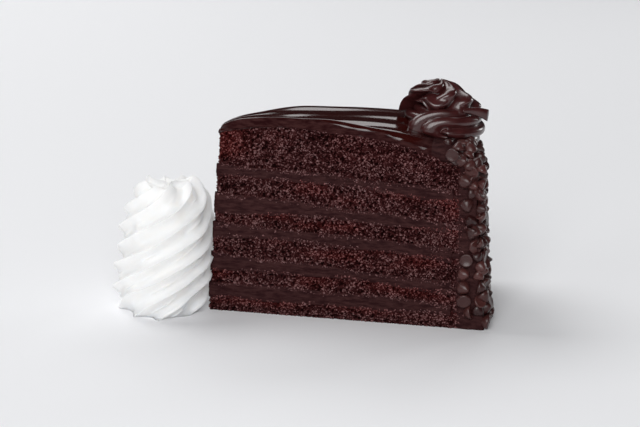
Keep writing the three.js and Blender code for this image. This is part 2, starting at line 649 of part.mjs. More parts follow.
function piece(name, geometry, look) {
  geometry.computeVertexNormals();
  const mesh = new THREE.Mesh(geometry, new THREE.MeshStandardMaterial(look));
  mesh.name = name;
  slice.add(mesh);
}

LAYERS.forEach(({ name }, number) => {
  const look = name.startsWith("sponge") ? COLOURS.sponge : COLOURS.filling;
  piece(name, layerBlock(number), look);
});

const glaze = glazeBlock();
piece("glaze", glaze, COLOURS.glaze);

const core = solid(coatBlock());
const glazeSolid = solid(glaze);
const lifted = (manifold) => manifold.translate([0, 0, GAP]);
const bed = solid(bedBlock()).add(lifted(glazeSolid)).add(lifted(core));
const placedRosette = rosetteSolid()
  .translate([0, 0, -ROSETTE_HEIGHT / 2])
  .rotate([0, THREE.MathUtils.radToDeg(ROSETTE_TILT), 0])
  .translate([ROSETTE_RADIUS, 0, ROSETTE_BASE + ROSETTE_HEIGHT / 2]);
const rosette = outerShell(placedRosette.subtract(bed));
const coat = coatWithChips(core, [glazeSolid, rosette, solid(crumbBlock())]);
piece("side_coat", geometryOf(coat), COLOURS.chips);
piece("rosette", geometryOf(rosette), COLOURS.rosette);
piece("whipped_cream", geometryOf(creamSolid().subtract(pointRoom())), COLOURS.cream);

export default slice;
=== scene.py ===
# %% [markdown]
# # A slice of layered chocolate cake, built in Blender
#
# The slice was cut from a tall round cake: six dark sponges with five layers of frosting between
# them, a poured glaze, a rim pressed full of chocolate chips, and a piped rosette. A swirl of whipped
# cream stands against its point. Every piece below is a surface that a few formulas describe, and
# numpy works it out as whole arrays, so a size can be changed and the cake follows.

import bpy
import numpy as np
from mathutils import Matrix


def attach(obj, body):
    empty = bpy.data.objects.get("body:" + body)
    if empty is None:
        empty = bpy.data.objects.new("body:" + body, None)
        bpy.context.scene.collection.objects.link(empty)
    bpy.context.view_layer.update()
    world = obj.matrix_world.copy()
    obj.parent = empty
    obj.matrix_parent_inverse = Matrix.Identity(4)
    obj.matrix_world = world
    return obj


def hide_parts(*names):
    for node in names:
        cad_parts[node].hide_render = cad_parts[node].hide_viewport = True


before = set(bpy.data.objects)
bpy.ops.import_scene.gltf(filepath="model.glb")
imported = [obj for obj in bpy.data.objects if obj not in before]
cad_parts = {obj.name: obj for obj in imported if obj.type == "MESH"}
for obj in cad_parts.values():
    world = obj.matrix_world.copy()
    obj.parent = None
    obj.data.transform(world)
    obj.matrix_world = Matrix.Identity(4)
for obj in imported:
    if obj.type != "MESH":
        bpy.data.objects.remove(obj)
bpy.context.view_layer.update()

# %% [markdown]
# ## Measuring on a round cake
#
# A slice could be measured from its own corner, but then both its cuts would be slanted lines. From
# the axis of the whole cake, just in front of the point, everything is simple: a place is a radius,
# an angle from the slice's middle line and a height over the plate. All lengths are in millimetres.
# Two small functions, a share of the way and a soft step, shape nearly every surface below.

# %% Places on the cake
CRUMB_RADIUS = 114
HALF_ANGLE = np.radians(16)


def lerp(a, b, share):
    """From a to b: a plus the difference times the share."""
    return a + (b - a) * share


def smoothstep(x, low, high):
    """0 up to low, 1 from high and an S-curve between. With low above high it falls instead."""
    t = np.clip((x - low) / (high - low), 0, 1)
    return t * t * (3 - 2 * t)


def on_cake(r, angle, z):
    """x and y are the radius times the cosine and the sine of the angle, and z is the height."""
    return np.stack([r * np.cos(angle), r * np.sin(angle), z + 0 * r], axis=-1)


print(f"the cut is {CRUMB_RADIUS} mm long and the slice opens {2 * np.degrees(HALF_ANGLE):.0f} degrees")

# %% [markdown]
# ## The stack of layers
#
# Sponges dome and sag, and frosting is spread by hand, so no layer of a real cake is flat. Flat discs
# would be quicker, but the uneven bands are what makes a cut look real. Each layer's thickness is
# given at three distances from the centre, and a parabola through the three values gives it
# everywhere. Two slow sine waves let each border waver.

# %% Layer thicknesses from the plate up
STATIONS = (17, 65, 100)
LAYERS = {
    "sponge_1": (7.2, 6.9, 6.5),
    "filling_1": (5.6, 4.8, 4.0),
    "sponge_2": (7.7, 8.3, 7.3),
    "filling_2": (5.5, 3.2, 3.6),
    "sponge_3": (10.3, 12.4, 11.6),
    "filling_3": (4.5, 3.4, 4.2),
    "sponge_4": (7.3, 8.8, 8.5),
    "filling_4": (6.6, 3.8, 3.2),
    "sponge_5": (10.1, 11.7, 11.3),
    "filling_5": (3.4, 3.1, 3.8),
    "sponge_6": (18.2, 20.6, 16.2),
}
print("layers:", len(LAYERS))


# %% Borders between the layers
LAYER_WOBBLE = 0.35


def at_radius(values, r):
    """The parabola through the values at the three stations: each value times its own parabola."""
    a, b, c = STATIONS
    first = values[0] * (r - b) * (r - c) / ((a - b) * (a - c))
    second = values[1] * (r - a) * (r - c) / ((b - a) * (b - c))
    third = values[2] * (r - a) * (r - b) / ((c - a) * (c - b))
    return first + second + third


def boundary(count, r, angle):
    """Height of the top of the first count layers: their thicknesses plus the two waves."""
    if count == 0:
        return 0 * r
    stacked = sum(at_radius(values, r) for values in list(LAYERS.values())[:count])
    along = np.sin(r / 9 + 2.1 * count)
    across = np.sin(18 * angle + 1.3 * count + r / 23)
    return stacked + LAYER_WOBBLE * (along + 0.6 * across)


def crumb_top(r, angle):
    """Height of the top of the uppermost sponge."""
    return boundary(len(LAYERS), r, angle)


print("height of the crumb at the stations:", crumb_top(np.array(STATIONS), 0).round(1))

# %% [markdown]
# ## A bent box
#
# A layer is a bent box: a top, a bottom, two cut faces, the rim and the point. A subdivided cube could
# be bent with modifiers, but no modifier knows where the layers of a cake lie. So the skin of a unit
# cube is cut into cells, and a formula moves its points into place: u runs from the point to the rim,
# v across the slice and w up through the layer.

# %% The skin of a cube
def cells_of(ids):
    """The four corners of each cell of a grid of point numbers."""
    corners = [ids[:-1, :-1], ids[1:, :-1], ids[1:, 1:], ids[:-1, 1:]]
    return np.stack(corners, axis=-1).reshape(-1, 4)


def block(steps):
    """Shares u, v, w from 0 to 1 over the sides of a cube cut into steps cells, and its faces."""
    i, j, k = np.meshgrid(*[np.arange(n + 1) for n in steps], indexing="ij")
    on_side = (i % steps[0] == 0) | (j % steps[1] == 0) | (k % steps[2] == 0)
    number = np.full(on_side.shape, -1)
    number[on_side] = np.arange(on_side.sum())
    sides = [number[:, :, -1], number[:, :, 0].T, number[:, 0, :]]
    sides += [number[:, -1, :].T, number[-1, :, :], number[0, :, :].T]
    faces = np.concatenate([cells_of(side) for side in sides])
    return [index[on_side] / n for index, n in zip((i, j, k), steps)], faces


# %% [markdown]
# ## From arrays to a finished object
#
# Blender's foreach_set takes a whole array at once, which is far quicker than adding points one by
# one. A finished object also has to know which way is out, what its finish is, which body it rides on
# and which node of the part it replaces. The faces are turned round where the volume inside them
# comes out negative, so no shape has to think of that. Points are moved to the part's own origin, 70
# mm along the middle line, and scaled to metres here and nowhere else.

# %% Volume
def volume(points, faces):
    """The sum of the pyramids from the origin to each triangle, negative where faces look in."""
    total = 0
    for group in faces:
        a = points[group[:, 0]]
        for k in range(1, group.shape[1] - 1):
            b = points[group[:, k]]
            c = points[group[:, k + 1]]
            total += np.einsum("ij,ij->i", a, np.cross(b, c)).sum() / 6
    return total


# %% The finished piece
ORIGIN_RADIUS = 70


def piece(name, points, faces, finish, replaced, slot, **values):
    """An object from points in cake millimetres and groups of faces, with values at its points."""
    if volume(points, faces) < 0:
        faces = [group[:, ::-1] for group in faces]
    sizes = np.concatenate([np.full(len(group), group.shape[1]) for group in faces])
    corners = np.concatenate([group.ravel() for group in faces])
    metres = (points - np.array([ORIGIN_RADIUS, 0, 0])) / 1000
    mesh = bpy.data.meshes.new(name)
    mesh.vertices.add(len(points))
    mesh.vertices.foreach_set("co", metres.astype(np.float32).ravel())
    mesh.loops.add(len(corners))
    mesh.loops.foreach_set("vertex_index", corners.astype(np.int32))
    mesh.polygons.add(len(sizes))
    mesh.polygons.foreach_set("loop_start", (np.cumsum(sizes) - sizes).astype(np.int32))
    mesh.polygons.foreach_set("use_smooth", np.full(len(sizes), True))
    for label, numbers in values.items():
        attribute = mesh.attributes.new(label, "FLOAT", "POINT")
        attribute.data.foreach_set("value", np.asarray(numbers, dtype=np.float32).ravel())
    mesh.update(calc_edges=True)
    mesh.materials.append(finish)
    made = bpy.data.objects.new(name, mesh)
    bpy.context.scene.collection.objects.link(made)
    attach(made, "root")
    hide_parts(replaced)
    print(f"{name}: {len(points)} points, {len(sizes)} faces")


# %% [markdown]
# ## Unevenness that repeats
#
# Food is uneven, but the script has to give the same cake each time. So nothing is drawn from a
# random generator: a hash turns the whole numbers of a place in space into one scattered number.
# Blending such numbers smoothly between the corners of a grid gives a slow wander, which can be
# asked for at any point by itself.

# %% A hash
PRIMES = (73856093, 19349663, 83492791, 2654435761)
MIXERS = ((15, 2246822519), (13, 3266489917))
LOW_BITS = 0xFFFFFFFF


def scattered(x, y, z, seed):
    """A hash in 32 bits: each number times a prime, joined by exclusive or, then mixed twice."""
    h = (x.astype(np.int64) * PRIMES[0]) ^ (y.astype(np.int64) * PRIMES[1])
    h = h ^ (z.astype(np.int64) * PRIMES[2]) ^ (seed * PRIMES[3])
    h = (h & LOW_BITS).astype(np.uint64)
    for shift, mixer in MIXERS:
        h = ((h ^ (h >> np.uint64(shift))) * np.uint64(mixer)) & np.uint64(LOW_BITS)
    return h ^ (h >> np.uint64(16))


# %% A wander
def wander(points, size, seed):
    """Smooth noise from -1 to 1 that changes over size millimetres: the corners' hashes blended."""
    place = points / np.asarray(size)
    low = np.floor(place).astype(np.int64)
    t = place - low
    t = t * t * (3 - 2 * t)
    total = 0
    for dx in (0, 1):
        for dy in (0, 1):
            for dz in (0, 1):
                h = scattered(low[..., 0] + dx, low[..., 1] + dy, low[..., 2] + dz, seed)
                weight = np.abs(1 - dx - t[..., 0]) * np.abs(1 - dy - t[..., 1])
                weight = weight * np.abs(1 - dz - t[..., 2])
                total = total + weight * (h.astype(float) / 2**31 - 1)
    return total


# %% [markdown]
# ## Finishes
#
# A finish is a Principled shader with a number in each socket, and a pattern where one number isn't
# enough. The nodes could be placed by hand in the shader editor. A few short functions place them
# here, so that each finish below reads as a recipe. Where a pattern has to follow the shape, it reads
# a value that the mesh stores at its points.

# %% Nodes and finishes
def node(tree, kind, **values):
    """A new node: names that start with in_ set its inputs, and other names its properties."""
    made = tree.nodes.new(kind)
    for key, value in values.items():
        if key.startswith("in_"):
            made.inputs[key[3:].replace("_", " ")].default_value = value
        else:
            setattr(made, key, value)
    return made


def new_finish(name, **sockets):
    """A material, its node tree and its Principled shader with the named sockets set."""
    material = bpy.data.materials.new(name)
    material.use_nodes = True
    shader = material.node_tree.nodes["Principled BSDF"]
    for socket, value in sockets.items():
        shader.inputs[socket.replace("_", " ")].default_value = value
    print("finish:", name)
    return material, material.node_tree, shader


# %% Patterns in a finish
def stored(tree, label):
    """The value that the mesh stores at its points under a label."""
    return node(tree, "ShaderNodeAttribute", attribute_name=label).outputs["Fac"]


def ramp(tree, value, *stops):
    """A colour that follows a value: each stop is a position from 0 to 1 and its colour."""
    made = node(tree, "ShaderNodeValToRGB")
    elements = made.color_ramp.elements
    while len(elements) < len(stops):
        elements.new(0.5)
    for element, (position, colour) in zip(elements, stops):
        element.position = position
        element.color = (*colour, 1)
    tree.links.new(value, made.inputs["Fac"])
    return made.outputs["Color"]


def bump(tree, shader, height, strength, distance):
    """Relief too fine for the mesh: a height turns the normal, as if it were distance metres deep."""
    made = node(tree, "ShaderNodeBump", in_Strength=strength, in_Distance=distance)
    tree.links.new(height, made.inputs["Height"])
    tree.links.new(made.outputs["Normal"], shader.inputs["Normal"])


# %% [markdown]
# ## Fine unevenness, one effect for every finish
#
# Crumb, frosting, glaze, chips and cream are all a little streaky and never quite smooth. The same
# nodes could be built again in each material, but it is one effect at several sizes. So it is one
# node group, built once and placed in each finish with its own values. It is noise over the object's
# coordinates, squeezed along an axis where a knife dragged the surface. Its value tints a colour or
# feeds a Bump node.

# %% The group of fine unevenness
NOISE_INPUTS = ("Scale", "Detail", "Roughness")


def unevenness_group():
    """A node group: noise at the object's coordinates times Stretch, as a value near a half."""
    group = bpy.data.node_groups.new("fine unevenness", "ShaderNodeTree")
    group.interface.new_socket("Stretch", in_out="INPUT", socket_type="NodeSocketVector")
    for label in NOISE_INPUTS:
        group.interface.new_socket(label, in_out="INPUT", socket_type="NodeSocketFloat")
    group.interface.new_socket("Amount", in_out="OUTPUT", socket_type="NodeSocketFloat")
    given = node(group, "NodeGroupInput")
    place = node(group, "ShaderNodeTexCoord")
    stretched = node(group, "ShaderNodeMapping")
    noise = node(group, "ShaderNodeTexNoise")
    result = node(group, "NodeGroupOutput")
    group.links.new(place.outputs["Object"], stretched.inputs["Vector"])
    group.links.new(given.outputs["Stretch"], stretched.inputs["Scale"])
    group.links.new(stretched.outputs["Vector"], noise.inputs["Vector"])
    for label in NOISE_INPUTS:
        group.links.new(given.outputs[label], noise.inputs[label])
    group.links.new(noise.outputs["Fac"], result.inputs["Amount"])
    return group


UNEVENNESS = unevenness_group()


def unevenness(tree, scale, detail, roughness, stretch=(1, 1, 1)):
    """The group placed in a finish: scale counts the noise's waves in a metre."""
    placed = node(tree, "ShaderNodeGroup", node_tree=UNEVENNESS, in_Stretch=stretch)
    for label, value in zip(NOISE_INPUTS, (scale, detail, roughness)):
        placed.inputs[label].default_value = value
    return placed.outputs["Amount"]


print("node group:", UNEVENNESS.name)

# %% [markdown]
# ## The finish of the crumb
#
# Chocolate sponge is nearly black-brown and moist. The colour follows the height of the crumb,
# which the mesh stores as `relief`: painted shade turns the pores between the crumbs deep
# red-brown, and a painted highlight gives each proud crumb a small grey glint. A noise texture
# could colour it, but light and dark would then not sit on the real bumps. Where the stored value
# `red` grows, a redder ramp takes over: in the patches where the crumb is torn open, and at the
# point of the top sponge, where the red is painted light on its lit edge. A thin coat on the proud
# crumbs makes them look moist.

# %% Chocolate sponge
# The pore colours are painted shade and the glint colours painted highlights; CRUMB is the crumb's own
PAINTED_PORE_SHADE = (0.005, 0.0004, 0.0004)
CRUMB = (0.036, 0.0086, 0.0088)
PAINTED_GLINT = (0.180, 0.086, 0.086)
RED_PAINTED_PORE_SHADE = (0.010, 0.0004, 0.0003)
RED_CRUMB = (0.052, 0.0068, 0.0062)
RED_PAINTED_GLINT = (0.23, 0.066, 0.062)


def mix(tree, factor, a, b):
    """Colour a turned to colour b where the factor is 1: each is an output or a plain colour."""
    made = node(tree, "ShaderNodeMix", data_type="RGBA")
    tree.links.new(factor, made.inputs["Factor"])
    for socket, value in ((made.inputs[6], a), (made.inputs[7], b)):
        if isinstance(value, bpy.types.NodeSocket):
            tree.links.new(value, socket)
        else:
            socket.default_value = (*value, 1)
    return made.outputs[2]


sponge_finish, tree, shader = new_finish(
    "chocolate sponge", Specular_IOR_Level=0.03, Roughness=0.8, Coat_Roughness=0.25
)
relief = stored(tree, "relief")
# Painted shade in the pores and painted highlights on the proud crumbs, from the crumb's height
brown = ramp(tree, relief, (0.15, PAINTED_PORE_SHADE), (0.5, CRUMB), (0.92, PAINTED_GLINT))
reddish = ramp(tree, relief, (0.15, RED_PAINTED_PORE_SHADE), (0.5, RED_CRUMB), (0.92, RED_PAINTED_GLINT))
tree.links.new(mix(tree, stored(tree, "red"), brown, reddish), shader.inputs["Base Color"])
moist = ramp(tree, relief, (0.5, (0, 0, 0)), (0.9, (0.5, 0.5, 0.5)))
tree.links.new(moist, shader.inputs["Coat Weight"])
bump(tree, shader, unevenness(tree, 2600, 3, 0.6), 0.5, 0.0003)

# %% [markdown]
# ## Crumbs
#
# A cut sponge is a mass of little crumbs with pores between them. Thousands of small balls could be
# scattered over it, but one surface that is pushed in and out stays closed and far lighter. Space is
# filled with grains, each with a random middle in its own little cube, and a grain is a low dome that
# falls to a crease where the next one begins. Two sizes of grain, a few missing ones and a wander
# make the crumb. Space is bent first, because straight creases would look like cut stone.

# %% Grains
FAR_AWAY = 9.0
AXIS_BITS = 10
OWN_NUMBERS = 997


def grains(points, size, seed):
    """Distances to the nearest and the next grain's middle, in grain sizes, and the grain's number.

    The middles of the 27 cubes around a point are tried in turn, and the two smallest distances
    are kept. Ten bits of a cube's hash place its middle along each axis, and a remainder of the
    hash is the grain's own number from 0 to 1.
    """
    largest = 2**AXIS_BITS - 1
    place = points / size
    low = np.floor(place).astype(np.int64)
    nearest = np.full(place.shape[:-1], FAR_AWAY)
    second = nearest.copy()
    own = np.zeros_like(nearest)
    for dx in (-1, 0, 1):
        for dy in (-1, 0, 1):
            for dz in (-1, 0, 1):
                cell = [low[..., 0] + dx, low[..., 1] + dy, low[..., 2] + dz]
                h = scattered(*cell, seed)
                middle = [(h >> np.uint64(AXIS_BITS * a)) & np.uint64(largest) for a in range(3)]
                apart = [cell[a] + middle[a].astype(float) / largest - place[..., a] for a in range(3)]
                distance = np.sqrt(apart[0] ** 2 + apart[1] ** 2 + apart[2] ** 2)
                closer = distance < nearest
                second = np.where(closer, nearest, np.minimum(second, distance))
                number = (h ^ (h >> np.uint64(7))).astype(float) % OWN_NUMBERS / OWN_NUMBERS
                own = np.where(closer, number, own)
                nearest = np.where(closer, distance, nearest)
    return nearest, second, own


# %% Relief of the crumb
GRAIN_SIZE = 1.15
FINE_GRAIN_SIZE = 0.7
CREASE_SHARE = 0.4
PORE_DEPTH = 1.2
MEAN_HEIGHT = 0.72


def bends(points, size, seeds):
    """Offsets in x, y and z: a wander of its own for each."""
    return np.stack([wander(points, size, seed) for seed in seeds], axis=-1)


def domes(near, far, height):
    """0 in the crease, where the two nearest middles are equally far, and full in a grain's middle."""
    return smoothstep(far - near, 0.0, CREASE_SHARE) * height * (1.25 - 0.6 * near)


def crumbs(points):
    """Height of the crumb from about -1 in a pore to 1 on a proud grain.

    Coarse domes plus fine domes, less their mean and the pores, plus a slow and a quick wander.
    """
    bent = points + 0.4 * bends(points, 1.0, (1, 2, 3))
    bent = bent + 0.3 * bends(points, 0.45, (21, 22, 23))
    near, far, own = grains(bent, GRAIN_SIZE, 11)
    coarse = domes(near, far, lerp(0.4, 1, own))
    pore = smoothstep(own, 0.22, 0.12) * smoothstep(near, 0.62, 0.3)
    near, far, own = grains(bent, FINE_GRAIN_SIZE, 12)
    fine = domes(near, far, lerp(0.3, 1, own))
    uneven = 0.2 * wander(points, 5, 4) + 0.42 * wander(points, 0.55, 24)
    return np.clip(1.15 * coarse + fine - MEAN_HEIGHT - PORE_DEPTH * pore + uneven, -1.3, 1.2)


sample = crumbs(on_cake(np.linspace(10, 100, 2000), 0.1, 50))
print("relief of the crumb from", sample.min().round(2), "to", sample.max().round(2))

# %% [markdown]
# ## Where a layer lies
#
# The knife takes the very tip of the slice away, and the soft point leans back as it rises. The
# frosting bulges out there, and the point's two edges are worn. A straight box could be sheared for
# that, but it would cut through the wavy borders. So the bent box of a layer asks the borders for
# their height at each radius and angle. Inside the stack a layer overlaps its neighbours, because
# crumbs will hide the border. Under the glaze and the coat, a hair's gap keeps the pieces apart.

# %% Places in a layer
POINT_RADIUS = 1.6
POINT_LEAN = 7
POINT_HEIGHT = 87
POINT_WEAR = 0.9
FILLING_BULGE = 0.9
GAP = 0.3
TOP_LAYER = len(LAYERS) - 1


def point_radius(z):
    """Where the slice begins at a height: its front edge leans back as it rises."""
    return POINT_RADIUS + POINT_LEAN * z / POINT_HEIGHT


def layer_place(number, u, v, w, outer, overlap):
    """Radius, angle, lower and upper border, and height at the shares u, v and w of a layer.

    The radius runs from the leaning point to outer. Over its first sixth, wear moves the two edges
    in and the frosting's bulge moves it out. The height runs from border to border.
    """
    angle = lerp(-HALF_ANGLE, HALF_ANGLE, v)
    bulge = FILLING_BULGE if number % 2 else 0
    wear = POINT_WEAR * np.abs(2 * v - 1) ** 4
    r_low = lerp(point_radius(boundary(number, lerp(0, outer, u), angle)), outer, u)
    r_high = lerp(point_radius(boundary(number + 1, lerp(0, outer, u), angle)), outer, u)
    r = lerp(r_low, r_high, w) + (wear - bulge) * np.clip(1 - 6 * u, 0, 1)
    low = boundary(number, r, angle) + ((GAP / 2 - overlap) if number else 0)
    high = boundary(number + 1, r, angle) - GAP / 2 + (overlap if number < TOP_LAYER else 0)
    return r, angle, low, high, lerp(low, high, w)


# %% Ways out of the sides
def side_normals(u, v):
    """Level directions out of the cut faces, the point and the rim, added up at edges; 0 inside."""
    angle = lerp(-HALF_ANGLE, HALF_ANGLE, v)
    along = np.stack([np.cos(angle), np.sin(angle), 0 * angle], axis=-1)
    square = np.stack([-np.sin(angle), np.cos(angle), 0 * angle], axis=-1)
    total = (v == 1)[:, None] * square - (v == 0)[:, None] * square
    total = total + (u == 1)[:, None] * along - (u == 0)[:, None] * along
    length = np.linalg.norm(total, axis=-1, keepdims=True)
    return total / np.maximum(length, 1e-9)


print("the point starts", point_radius(0), "mm from the axis and ends", point_radius(POINT_HEIGHT))

# %% [markdown]
# ## The six sponges
#
# The knife drags loose crumbs from each sponge over the frosting beside it, most of all near the
# rim, so the border between the two is ragged. The border could be painted on, but the crumbs really
# stand proud of the frosting. So each sponge's skin runs on over its neighbours and sinks out of
# sight where no crumb was dragged. The red patches lie in the upper part of each sponge, and at the
# point of the top one the red is painted light on its lit edge.

# %% Sponges with dragged crumbs
CRUMB_DEPTH = 0.5
CRUMB_STEP = 0.26
DRAGGED = 1.9
DRAGGED_RADIUS = 122
STEPS_ACROSS = 10


def drag(flat, r):
    """How far crumbs were dragged: a slow and a quick wander, and more towards the rim."""
    wandering = 0.9 * wander(flat, (13, 13, 4), 16) + 0.5 * wander(flat, (4, 4, 2), 17)
    return wandering + 1.3 * smoothstep(r, 97, 112)


def red_patches_and_painted_point_light(number, flat, r, share):
    """Red patches, a slow wander in a layer's upper part, and painted light on the top layer's point."""
    red = 0.8 * smoothstep(share, 0.2, 0.6) * smoothstep(wander(flat, (16, 16, 6), 15), -0.4, 0.8)
    if number == TOP_LAYER:
        # At the top layer's point the redder crumb is painted light on its lit edge
        red = 0.25 * red + smoothstep(r, 28, 10) * smoothstep(share, 0.2, 0.5)
    return red


for number, (name, thickness) in list(enumerate(LAYERS.items()))[::2]:
    rows = int((max(thickness) + 2 * DRAGGED) / CRUMB_STEP)
    (u, v, w), faces = block((int(DRAGGED_RADIUS / CRUMB_STEP), STEPS_ACROSS, rows))
    r, angle, low, high, z = layer_place(number, u, v, w, DRAGGED_RADIUS, DRAGGED)
    flat = on_cake(r, angle, z)
    height = crumbs(flat)
    below = low + DRAGGED - z if number else -1
    above = z - high + (DRAGGED if number < TOP_LAYER else -1)
    dragged = drag(flat, r)
    sink = 0.8 * smoothstep(np.maximum(below, above) - dragged, -0.2, 1.5)
    sink = sink + 0.8 * smoothstep(r - 2 * dragged, 113.5, 120)
    points = flat + (CRUMB_DEPTH * height - sink)[:, None] * side_normals(u, v)
    points[:, 2] = np.maximum(points[:, 2], 0)
    # The crumb's height, which the finish turns into painted shade in pores and painted highlights on grains
    shade = np.clip(0.5 + 0.45 * height, 0, 1)
    red = red_patches_and_painted_point_light(number, flat, r, (z - low) / (high - low))
    piece(f"{name}_crumb", points, [faces], sponge_finish, name, "sponge", relief=shade, red=red)

# %% [markdown]
# ## The finish of the frosting
#
# Cut fudge frosting is dark, damp and nearly matt, with faint level streaks from the knife. A single
# brown looks like plastic, so the shared unevenness, squeezed to level streaks, runs it between a
# dark and a lighter brown.

# %% Chocolate frosting
FROSTING_DARK = (0.019, 0.0050, 0.0056)
FROSTING_LIGHT = (0.042, 0.0155, 0.0152)

filling_finish, tree, shader = new_finish("chocolate frosting", Specular_IOR_Level=0.05, Roughness=0.6)
streaks = unevenness(tree, 200, 4, 0.6, (1, 1, 4))
colour = ramp(tree, streaks, (0.38, FROSTING_DARK), (0.62, FROSTING_LIGHT))
tree.links.new(colour, shader.inputs["Base Color"])
bump(tree, shader, unevenness(tree, 900, 4, 0.7, (1, 1, 1.5)), 0.5, 0.0006)

# %% [markdown]
# ## The five frosting layers
#
# Frosting fills the cake between the sponges, flush with the cut, and the knife leaves it streaked
# and slightly hollow at its borders. A boolean could cut it out of a disc, but the borders are known
# already, so it is the same bent box as a sponge with gentle streaks and lumps on its sides. Its
# borders reach a little way under the dragged crumbs.

# %% Frosting between the sponges
FROSTING_STEPS = (220, 12, 16)
UNDER_CRUMBS = 1.2
STREAK_HEIGHT = 0.12

for number, name in list(enumerate(LAYERS))[1::2]:
    (u, v, w), faces = block(FROSTING_STEPS)
    r, angle, low, high, z = layer_place(number, u, v, w, CRUMB_RADIUS, UNDER_CRUMBS)
    flat = on_cake(r, angle, z)
    edge = np.abs(2 * w - 1)
    streak = wander(flat, (8, 8, 1.0), 60 + number)
    lumps = wander(flat, (2.0, 2.0, 1.4), 80 + number)
    out = 0.02 - STREAK_HEIGHT * edge**2 + STREAK_HEIGHT * streak + STREAK_HEIGHT * lumps
    points = flat + out[:, None] * side_normals(u, v)
    piece(f"{name}_frosting", points, [faces], filling_finish, name, "filling")

# %% [markdown]
# ## The finish of the glaze
#
# Poured glaze is a mirror over dark chocolate, but where the slice was cut it shows a matt, streaky
# inside. Two materials would meet in a hard line, so one finish reads the stored value `cut`: the
# clear coat fades out as the value grows, and the smooth colour gives way to the blotched one.

# %% Poured glaze
GLAZE_TOP = (0.026, 0.0032, 0.0025)
GLAZE_CUT_DARK = (0.018, 0.0045, 0.0050)
GLAZE_CUT_LIGHT = (0.043, 0.0160, 0.0155)

glaze_finish, tree, shader = new_finish(
    "poured chocolate glaze", Specular_IOR_Level=0.0, Roughness=0.6, Coat_Roughness=0.13
)
cut = stored(tree, "cut")
blotches = unevenness(tree, 200, 4, 0.6, (1, 1, 4))
inside = ramp(tree, blotches, (0.38, GLAZE_CUT_DARK), (0.62, GLAZE_CUT_LIGHT))
tree.links.new(mix(tree, cut, GLAZE_TOP, inside), shader.inputs["Base Color"])
tree.links.new(ramp(tree, cut, (0.0, (1, 1, 1)), (1.0, (0, 0, 0))), shader.inputs["Coat Weight"])
bump(tree, shader, unevenness(tree, 260, 3, 0.5, (1, 1, 3)), 0.12, 0.0004)

# %% [markdown]
# ## The top of the glaze
#
# The glaze was poured warm and drawn off with a palette knife. It is thin over the point, thick
# towards the rim, and the knife left a few long ridges that start a little way from the point. It
# could be sculpted, but a cosine across the strokes gives the same ridges with a height and a
# spacing that can be set.

# %% Height of the glaze
GLAZE_THICKNESS = (4.8, 4.6, 6.3)
GLAZE_NOSE = 2.4
GLAZE_NOSE_LENGTH = 14
RIDGE_HEIGHT = 0.75
RIDGE_SPACING = 13
RIDGE_SKEW = 0.13
RIDGE_START = 24
RIDGE_RUN = 30
RIM_TILT = 1.4
FAR_DIP = 0.9
NEAR_DIP = 1.2


def glaze_ridge(r, angle):
    """A cosine across the strokes of the knife, which run a little askew to the middle line."""
    across = r * np.sin(angle) - RIDGE_SKEW * (r * np.cos(angle) - 60) + 1
    wave = 0.5 + 0.5 * np.cos(2 * np.pi * across / RIDGE_SPACING)
    return RIDGE_HEIGHT * smoothstep(r, RIDGE_START, RIDGE_START + RIDGE_RUN) * wave


def glaze_top(r, angle):
    """The crumb's top plus the glaze, less its thin nose, tilted at the rim, with two soft dips.

    The dips lie along the far cut near the point and along the near cut towards the rim. The ridges
    come on top of them.
    """
    nose = np.maximum(0, 1 - (r - point_radius(POINT_HEIGHT)) / GLAZE_NOSE_LENGTH)
    thickness = at_radius(GLAZE_THICKNESS, r) - GLAZE_NOSE * nose**3
    tilt = RIM_TILT * angle / HALF_ANGLE * smoothstep(r, 78, 108)
    far = FAR_DIP * smoothstep(angle / HALF_ANGLE, -0.7, 1) * (1 - smoothstep(r, 25, 50))
    near = NEAR_DIP * smoothstep(-angle / HALF_ANGLE, 0, 1) * smoothstep(r, 55, 95)
    return crumb_top(r, angle) + thickness + tilt - far - near + glaze_ridge(r, angle)


print("height of the cake with its glaze at the stations:", glaze_top(np.array(STATIONS), 0).round(1))

# %% [markdown]
# ## Soft edges of a cut
#
# Soft glaze has no sharp edge: the knife rounds it, crisply near the point and broadly near the rim,
# and smears it down over the crumb. A Bevel modifier would give every edge the same width. So points
# near the square edge are moved on to a quarter circle whose radius may differ from place to place.

# %% Rounding an edge
def rounded_edge(inward, down, radius):
    """Distances from a square edge, moved on to a quarter circle.

    Each distance becomes 1 at the edge and 0 a radius away. The pair is then scaled from the
    square's reach, which is the larger of the two, to the circle's, which is their length.
    """
    c = np.clip(1 - inward / radius, 0, 1)
    d = np.clip(1 - down / radius, 0, 1)
    scale = np.where((c > 0) & (d > 0), np.maximum(c, d) / np.maximum(np.hypot(c, d), 1e-9), 1)
    return inward + radius * c * (1 - scale), down + radius * d * (1 - scale)


def edge_softness(r):
    """Radius of the rounded edge between top and cut: crisp near the point, soft at the rim."""
    return 0.5 + 1.4 * smoothstep(r, 24, 60) + 2.6 * smoothstep(r, 66, 94)


# %% Smearing a cut
def knife_smear(points):
    """Long, flat streaks from -1 to 1 on a cut."""
    return wander(points, (9, 9, 1.2), 7)


def cut_relief(points):
    """How far cut frosting stands out: a little, and more where the knife smeared it."""
    return 0.1 + 0.16 * knife_smear(points)


def crumb_lap(ground):
    """How far frosting was smeared down over the crumb: two wanders, and more towards the rim."""
    r = np.hypot(ground[:, 0], ground[:, 1])
    more = 0.9 * smoothstep(r, 70, 84) * smoothstep(r, 112, 102)
    return np.maximum(0.2, 0.7 + more + 0.8 * wander(ground, 5, 5) + 0.4 * wander(ground, 1.5, 6))


# %% [markdown]
# ## The glaze
#
# With its top and its edges known, the glaze is one more bent box. Its steps lie closer together near
# the cuts and the point, where it bends most. It reaches just under the coat of the rim, and the value
# `cut` is stored from the matt sides and from where the coat's frosting was spread over it.

# %% The glaze from point to rim
GLAZE_STEPS = (300, 130, 20)
LIP_RADIUS = 104
LIP_OVERLAP = 2
POINT_OVERHANG = 1.0
NOSE_ROUNDING = 2.8
TOP_LENGTH = 96

